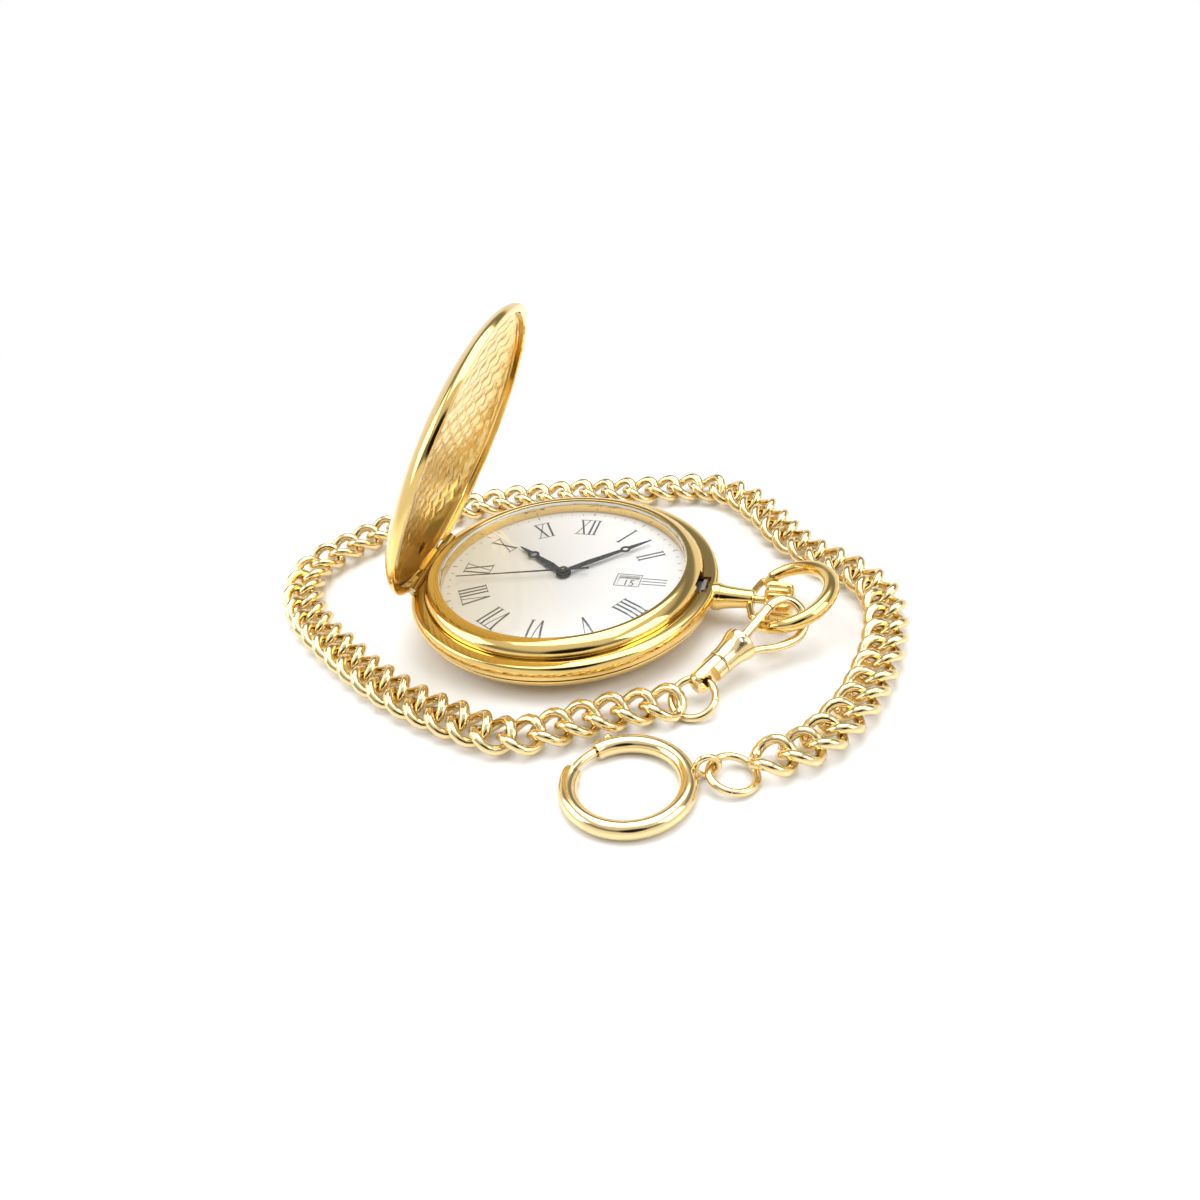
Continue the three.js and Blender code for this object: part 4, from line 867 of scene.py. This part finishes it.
# ---------- pendant ----------
# A turned brass neck screwed into the band. Its outer end carries a wire yoke with two eyes for
# the bow's pivots.
STEM_Z = 4.05
NECK_END, BOW_X, YOKE_HALF, YOKE_WIRE, BOW_PIN = 29.2, 31.5, 4.8, 0.55, 0.45
neck_side = smooth_profile([(1.98, 24.62), (1.75, 25.6), (1.56, 27.2), (1.46, 28.6), (1.44, 29.4)])
neck_line = [(0, 23.4), (2.1, 23.4), (2.1, 24.4), *neck_side, (1.3, 29.7), (0, 29.7)]
neck = turned_shape("neck", neck_line, 72, 0.06, True)
yoke_side = [(BOW_X, YOKE_HALF, 0), (BOW_X - 1.2, YOKE_HALF, 0), (NECK_END + 0.5, 3.5, 0), (NECK_END, 1.6, 0)]
yoke_line = flowing([(x, -y, z) for x, y, z in yoke_side] + [(NECK_END, 0, 0)] + yoke_side[::-1], 7)
cut_by(neck, drawn_wire("yoke", yoke_line, YOKE_WIRE, sides=5), "UNION")
for side in (-1, 1):
    eye_line = [(BOW_X, side * (YOKE_HALF - 0.4), 0), (BOW_X, side * (YOKE_HALF + 0.4), 0)]
    cut_by(neck, drawn_wire("boss", eye_line, 1.1, sides=10), "UNION")
    hole_line = [(BOW_X, side * (YOKE_HALF - 1), 0), (BOW_X, side * (YOKE_HALF + 1), 0)]
    cut_by(neck, drawn_wire("pivot_hole", hole_line, BOW_PIN + 0.07, sides=6))
cut_by(neck, drawn_wire("stem_hole", [(22, 0, 0), (31, 0, 0)], 0.7, sides=6))
settle(neck, Matrix.Translation((0, 0, STEM_Z)))
finished(neck, "pendant_neck", yellow_gold, "case", "case_gold", "pendant")


# ---------- crown ----------
# A brass knob with a rounded end, milled with flutes for the fingers. Its sleeve slides over the
# winding stem, so that a push frees the catch.
CROWN_X, CROWN_LENGTH, CROWN_RADIUS, FLUTES, FLUTE_DEPTH = 31.3, 4.3, 2.88, 20, 0.3
bpy.ops.object.select_all(action="DESELECT")
bpy.ops.mesh.primitive_cylinder_add(vertices=FLUTES * 6, radius=CROWN_RADIUS, depth=CROWN_LENGTH)
crown = bpy.context.object
for vertex in crown.data.vertices:
    around = math.atan2(vertex.co.y, vertex.co.x)
    dip = FLUTE_DEPTH * (0.5 - 0.5 * math.cos(FLUTES * around)) ** 1.5
    vertex.co.x *= 1 - dip / CROWN_RADIUS
    vertex.co.y *= 1 - dip / CROWN_RADIUS
crown.data.transform(Matrix.Rotation(math.pi / 2, 4, "Y"))
crown.data.transform(Matrix.Translation((CROWN_X + CROWN_LENGTH / 2, 0, 0)))
end_line = smooth_profile([(2.0, CROWN_X), (2.55, CROWN_X + 0.22), (2.86, CROWN_X + 0.75),
                           (2.9, CROWN_X + 1.4), (2.9, CROWN_X + 2.7), (2.8, CROWN_X + 3.4),
                           (2.45, CROWN_X + 3.95), (1.7, CROWN_X + 4.22)])
crown_form = turned_shape("form", [(0, CROWN_X), *end_line, (0, CROWN_X + CROWN_LENGTH)], 96, 0, True)
cut_by(crown, crown_form, "INTERSECT")
cut_by(crown, drawn_wire("sleeve", [(20.5, 0, 0), (CROWN_X + 0.5, 0, 0)], 0.6, sides=6), "UNION")
cut_by(crown, drawn_wire("bore", [(19.5, 0, 0), (28.2, 0, 0)], 0.36, sides=5))
bpy.ops.object.shade_smooth_by_angle(angle=math.radians(28))
settle(crown, Matrix.Translation((0, 0, STEM_Z)))
finished(crown, "crown_knob", yellow_gold, "crown", "case_gold", "crown")


# ---------- bow ----------
# A ring of thick brass rod that tapers to rounded ends. It is bent round and sprung into the
# yoke's eyes on two pins.
BOW_TILT, BOW_STEPS = math.radians(17), 60
BOW_WIRE, BOW_END, BOW_HALF_WIDTH, BOW_CENTRE, BOW_REACH = 1.2, 0.85, 7.5, 3.4, 9.8
bow_reach = BOW_REACH - BOW_CENTRE
bow_last = math.acos(-BOW_CENTRE / bow_reach)
bow_angles = [bow_last * (-1 + 2 * i / BOW_STEPS) for i in range(BOW_STEPS + 1)]
bow_line = [(BOW_CENTRE + bow_reach * math.cos(a), BOW_HALF_WIDTH * math.sin(a), 0) for a in bow_angles]
bow_shares = [(BOW_END + (BOW_WIRE - BOW_END) * math.sin(math.pi * i / BOW_STEPS) ** 0.6) / BOW_WIRE
              for i in range(BOW_STEPS + 1)]
bow = drawn_wire("bow", bow_line, BOW_WIRE, sides=8, shares=bow_shares)
for side, end in ((-1, bow_line[0]), (1, bow_line[-1])):
    bpy.ops.object.select_all(action="DESELECT")
    bpy.ops.mesh.primitive_uv_sphere_add(segments=28, ring_count=16, radius=BOW_END + 0.004, location=end)
    ball = bpy.context.object
    bpy.ops.object.transform_apply(location=True)
    cut_by(bow, ball, "UNION")
    pivot = drawn_wire("pivot", [end, (end[0], side * (YOKE_HALF - 0.35), 0)], BOW_PIN, sides=5)
    cut_by(bow, pivot, "UNION")
settle(bow, Matrix.Translation((BOW_X, 0, STEM_Z)), Matrix.Rotation(-BOW_TILT, 4, "Y"))
finished(bow, "bow_ring", yellow_gold, "bow", "case_gold", "bow")


# ---------- movement ----------
# A plain quartz movement in a white nylon ring: brass plates and wheels, a steel rotor in its
# stator, a copper coil, a green circuit board, a quartz tube and a button battery.
plate_brass = plain_finish("plate_brass", (0.72, 0.50, 0.20), 0.32, metallic=1.0, mottle=0.08, scale=420,
                           bump=0.3, stretch=(1, 18, 1))
for brass_node in ("main_plate", "train_bridge", "hour_wheel", "minute_wheel", "centre_wheel",
                   "third_wheel", "seconds_wheel"):
    coated(brass_node, plate_brass)
for steel_node in ("rotor", "stator", "quartz_crystal", "battery", "battery_clip", "setting_lever",
                   "winding_stem", "sliding_pinion"):
    coated(steel_node, spring_steel)
nylon = plain_finish("white_nylon", (0.78, 0.77, 0.72), 0.5, mottle=0.03, scale=260, bump=0.2)
for nylon_node in ("movement_spacer", "intermediate_wheel", "crystal_seal"):
    coated(nylon_node, nylon)
coated("back_seal", plain_finish("seal_rubber", (0.02, 0.02, 0.021), 0.65, mottle=0.15, scale=900, bump=0.3))
coated("circuit_board", plain_finish("solder_mask", (0.02, 0.13, 0.06), 0.45, mottle=0.2, scale=500, bump=0.3))
coated("coil", plain_finish("copper_wire", (0.72, 0.32, 0.14), 0.3, metallic=1.0, mottle=0.2, scale=120,
                            bump=0.8, stretch=(60, 1, 1)))


# ---------- table, background and lights ----------
# A glossy white table under wide soft lights, with a white background behind it.
bpy.ops.object.select_all(action="DESELECT")
TABLE_SIZE, TABLE_DROP, FADE_FROM, FADE_TO = 6, 0.00004, 0.07, 0.2
bpy.ops.mesh.primitive_plane_add(size=TABLE_SIZE, location=(0, 0, -TABLE_DROP))
table = bpy.context.object
table.name = "table_top"
table_white = bpy.data.materials.new("table_white")
table_white.use_nodes = True
table_shader = table_white.node_tree.nodes["Principled BSDF"]
table_shader.inputs["Base Color"].default_value = (0.93, 0.94, 0.95, 1)
table_shader.inputs["Roughness"].default_value = 0.22
table_shader.inputs["Specular IOR Level"].default_value = 0.5
# Away from the watch the table fades to plain white for the camera, reflections and glass.
white_links = table_white.node_tree.links
table_nodes = table_white.node_tree.nodes
table_place = table_nodes.new("ShaderNodeTexCoord")
from_watch = table_nodes.new("ShaderNodeVectorMath")
from_watch.operation = "LENGTH"
white_links.new(table_place.outputs["Object"], from_watch.inputs[0])
fade = table_nodes.new("ShaderNodeMapRange")
fade.inputs["From Min"].default_value = FADE_FROM
fade.inputs["From Max"].default_value = FADE_TO
white_links.new(from_watch.outputs["Value"], fade.inputs["Value"])
table_rays = table_nodes.new("ShaderNodeLightPath")
seen = table_rays.outputs["Is Camera Ray"]
for ray in ("Is Glossy Ray", "Is Transmission Ray"):
    either = table_nodes.new("ShaderNodeMath")
    either.operation = "MAXIMUM"
    white_links.new(seen, either.inputs[0])
    white_links.new(table_rays.outputs[ray], either.inputs[1])
    seen = either.outputs["Value"]
share = table_nodes.new("ShaderNodeMath")
share.operation = "MULTIPLY"
white_links.new(seen, share.inputs[0])
white_links.new(fade.outputs["Result"], share.inputs[1])
plain_white = table_nodes.new("ShaderNodeEmission")
table_mix = table_nodes.new("ShaderNodeMixShader")
white_links.new(share.outputs["Value"], table_mix.inputs["Fac"])
white_links.new(table_shader.outputs["BSDF"], table_mix.inputs[1])
white_links.new(plain_white.outputs["Emission"], table_mix.inputs[2])
white_links.new(table_mix.outputs["Shader"], table_nodes["Material Output"].inputs["Surface"])
table.data.materials.append(table_white)


def soft_light(name, width, height, strength, at, towards):
    """A wide panel that points at a place on the watch."""
    lamp = bpy.data.lights.new(name, "AREA")
    lamp.shape = "RECTANGLE"
    lamp.size, lamp.size_y = width, height
    lamp.energy = strength
    holder = bpy.data.objects.new(name, lamp)
    bpy.context.scene.collection.objects.link(holder)
    holder.location = at
    holder.rotation_euler = (Vector(towards) - Vector(at)).to_track_quat("-Z", "Y").to_euler()


soft_light("overhead", 0.5, 0.5, 2.2, (-0.02, 0.12, 0.5), (0, 0, 0))
soft_light("left_side", 0.4, 0.3, 1.2, (-0.45, -0.1, 0.28), (0, 0, 0.01))
soft_light("right_side", 0.3, 0.3, 0.9, (0.42, -0.05, 0.3), (0, 0, 0))

# The room: pale at the horizon, a darker band above it and one dark panel that the gold mirrors.
studio = bpy.data.worlds.new("studio")
bpy.context.scene.world = studio
studio.use_nodes = True
sky, joins = studio.node_tree.nodes, studio.node_tree.links
background = sky["Background"]
towards_sky = sky.new("ShaderNodeTexCoord")
split = sky.new("ShaderNodeSeparateXYZ")
joins.new(towards_sky.outputs["Generated"], split.inputs["Vector"])
height_ramp = sky.new("ShaderNodeValToRGB")
joins.new(split.outputs["Z"], height_ramp.inputs["Fac"])
stops = height_ramp.color_ramp
stops.elements[0].position, stops.elements[0].color = 0.0, (1, 1, 1, 1)
stops.elements[1].position, stops.elements[1].color = 1.0, (0.9, 0.9, 0.9, 1)
for place, level in ((0.30, 1.0), (0.42, 0.3), (0.6, 0.25), (0.75, 0.8)):
    stop = stops.elements.new(place)
    stop.color = (level, level, level, 1)
dark_spot = sky.new("ShaderNodeVectorMath")
dark_spot.operation = "DOT_PRODUCT"
dark_spot.inputs[1].default_value = (0.2665, -0.7784, 0.5685)
joins.new(towards_sky.outputs["Generated"], dark_spot.inputs[0])
shade = sky.new("ShaderNodeMapRange")
shade.inputs["From Min"].default_value = 0.93
shade.inputs["From Max"].default_value = 0.965
shade.inputs["To Min"].default_value = 1.0
shade.inputs["To Max"].default_value = 0.04
joins.new(dark_spot.outputs["Value"], shade.inputs["Value"])
dimmed = sky.new("ShaderNodeVectorMath")
dimmed.operation = "SCALE"
joins.new(height_ramp.outputs["Color"], dimmed.inputs[0])
joins.new(shade.outputs["Result"], dimmed.inputs["Scale"])
joins.new(dimmed.outputs["Vector"], background.inputs["Color"])
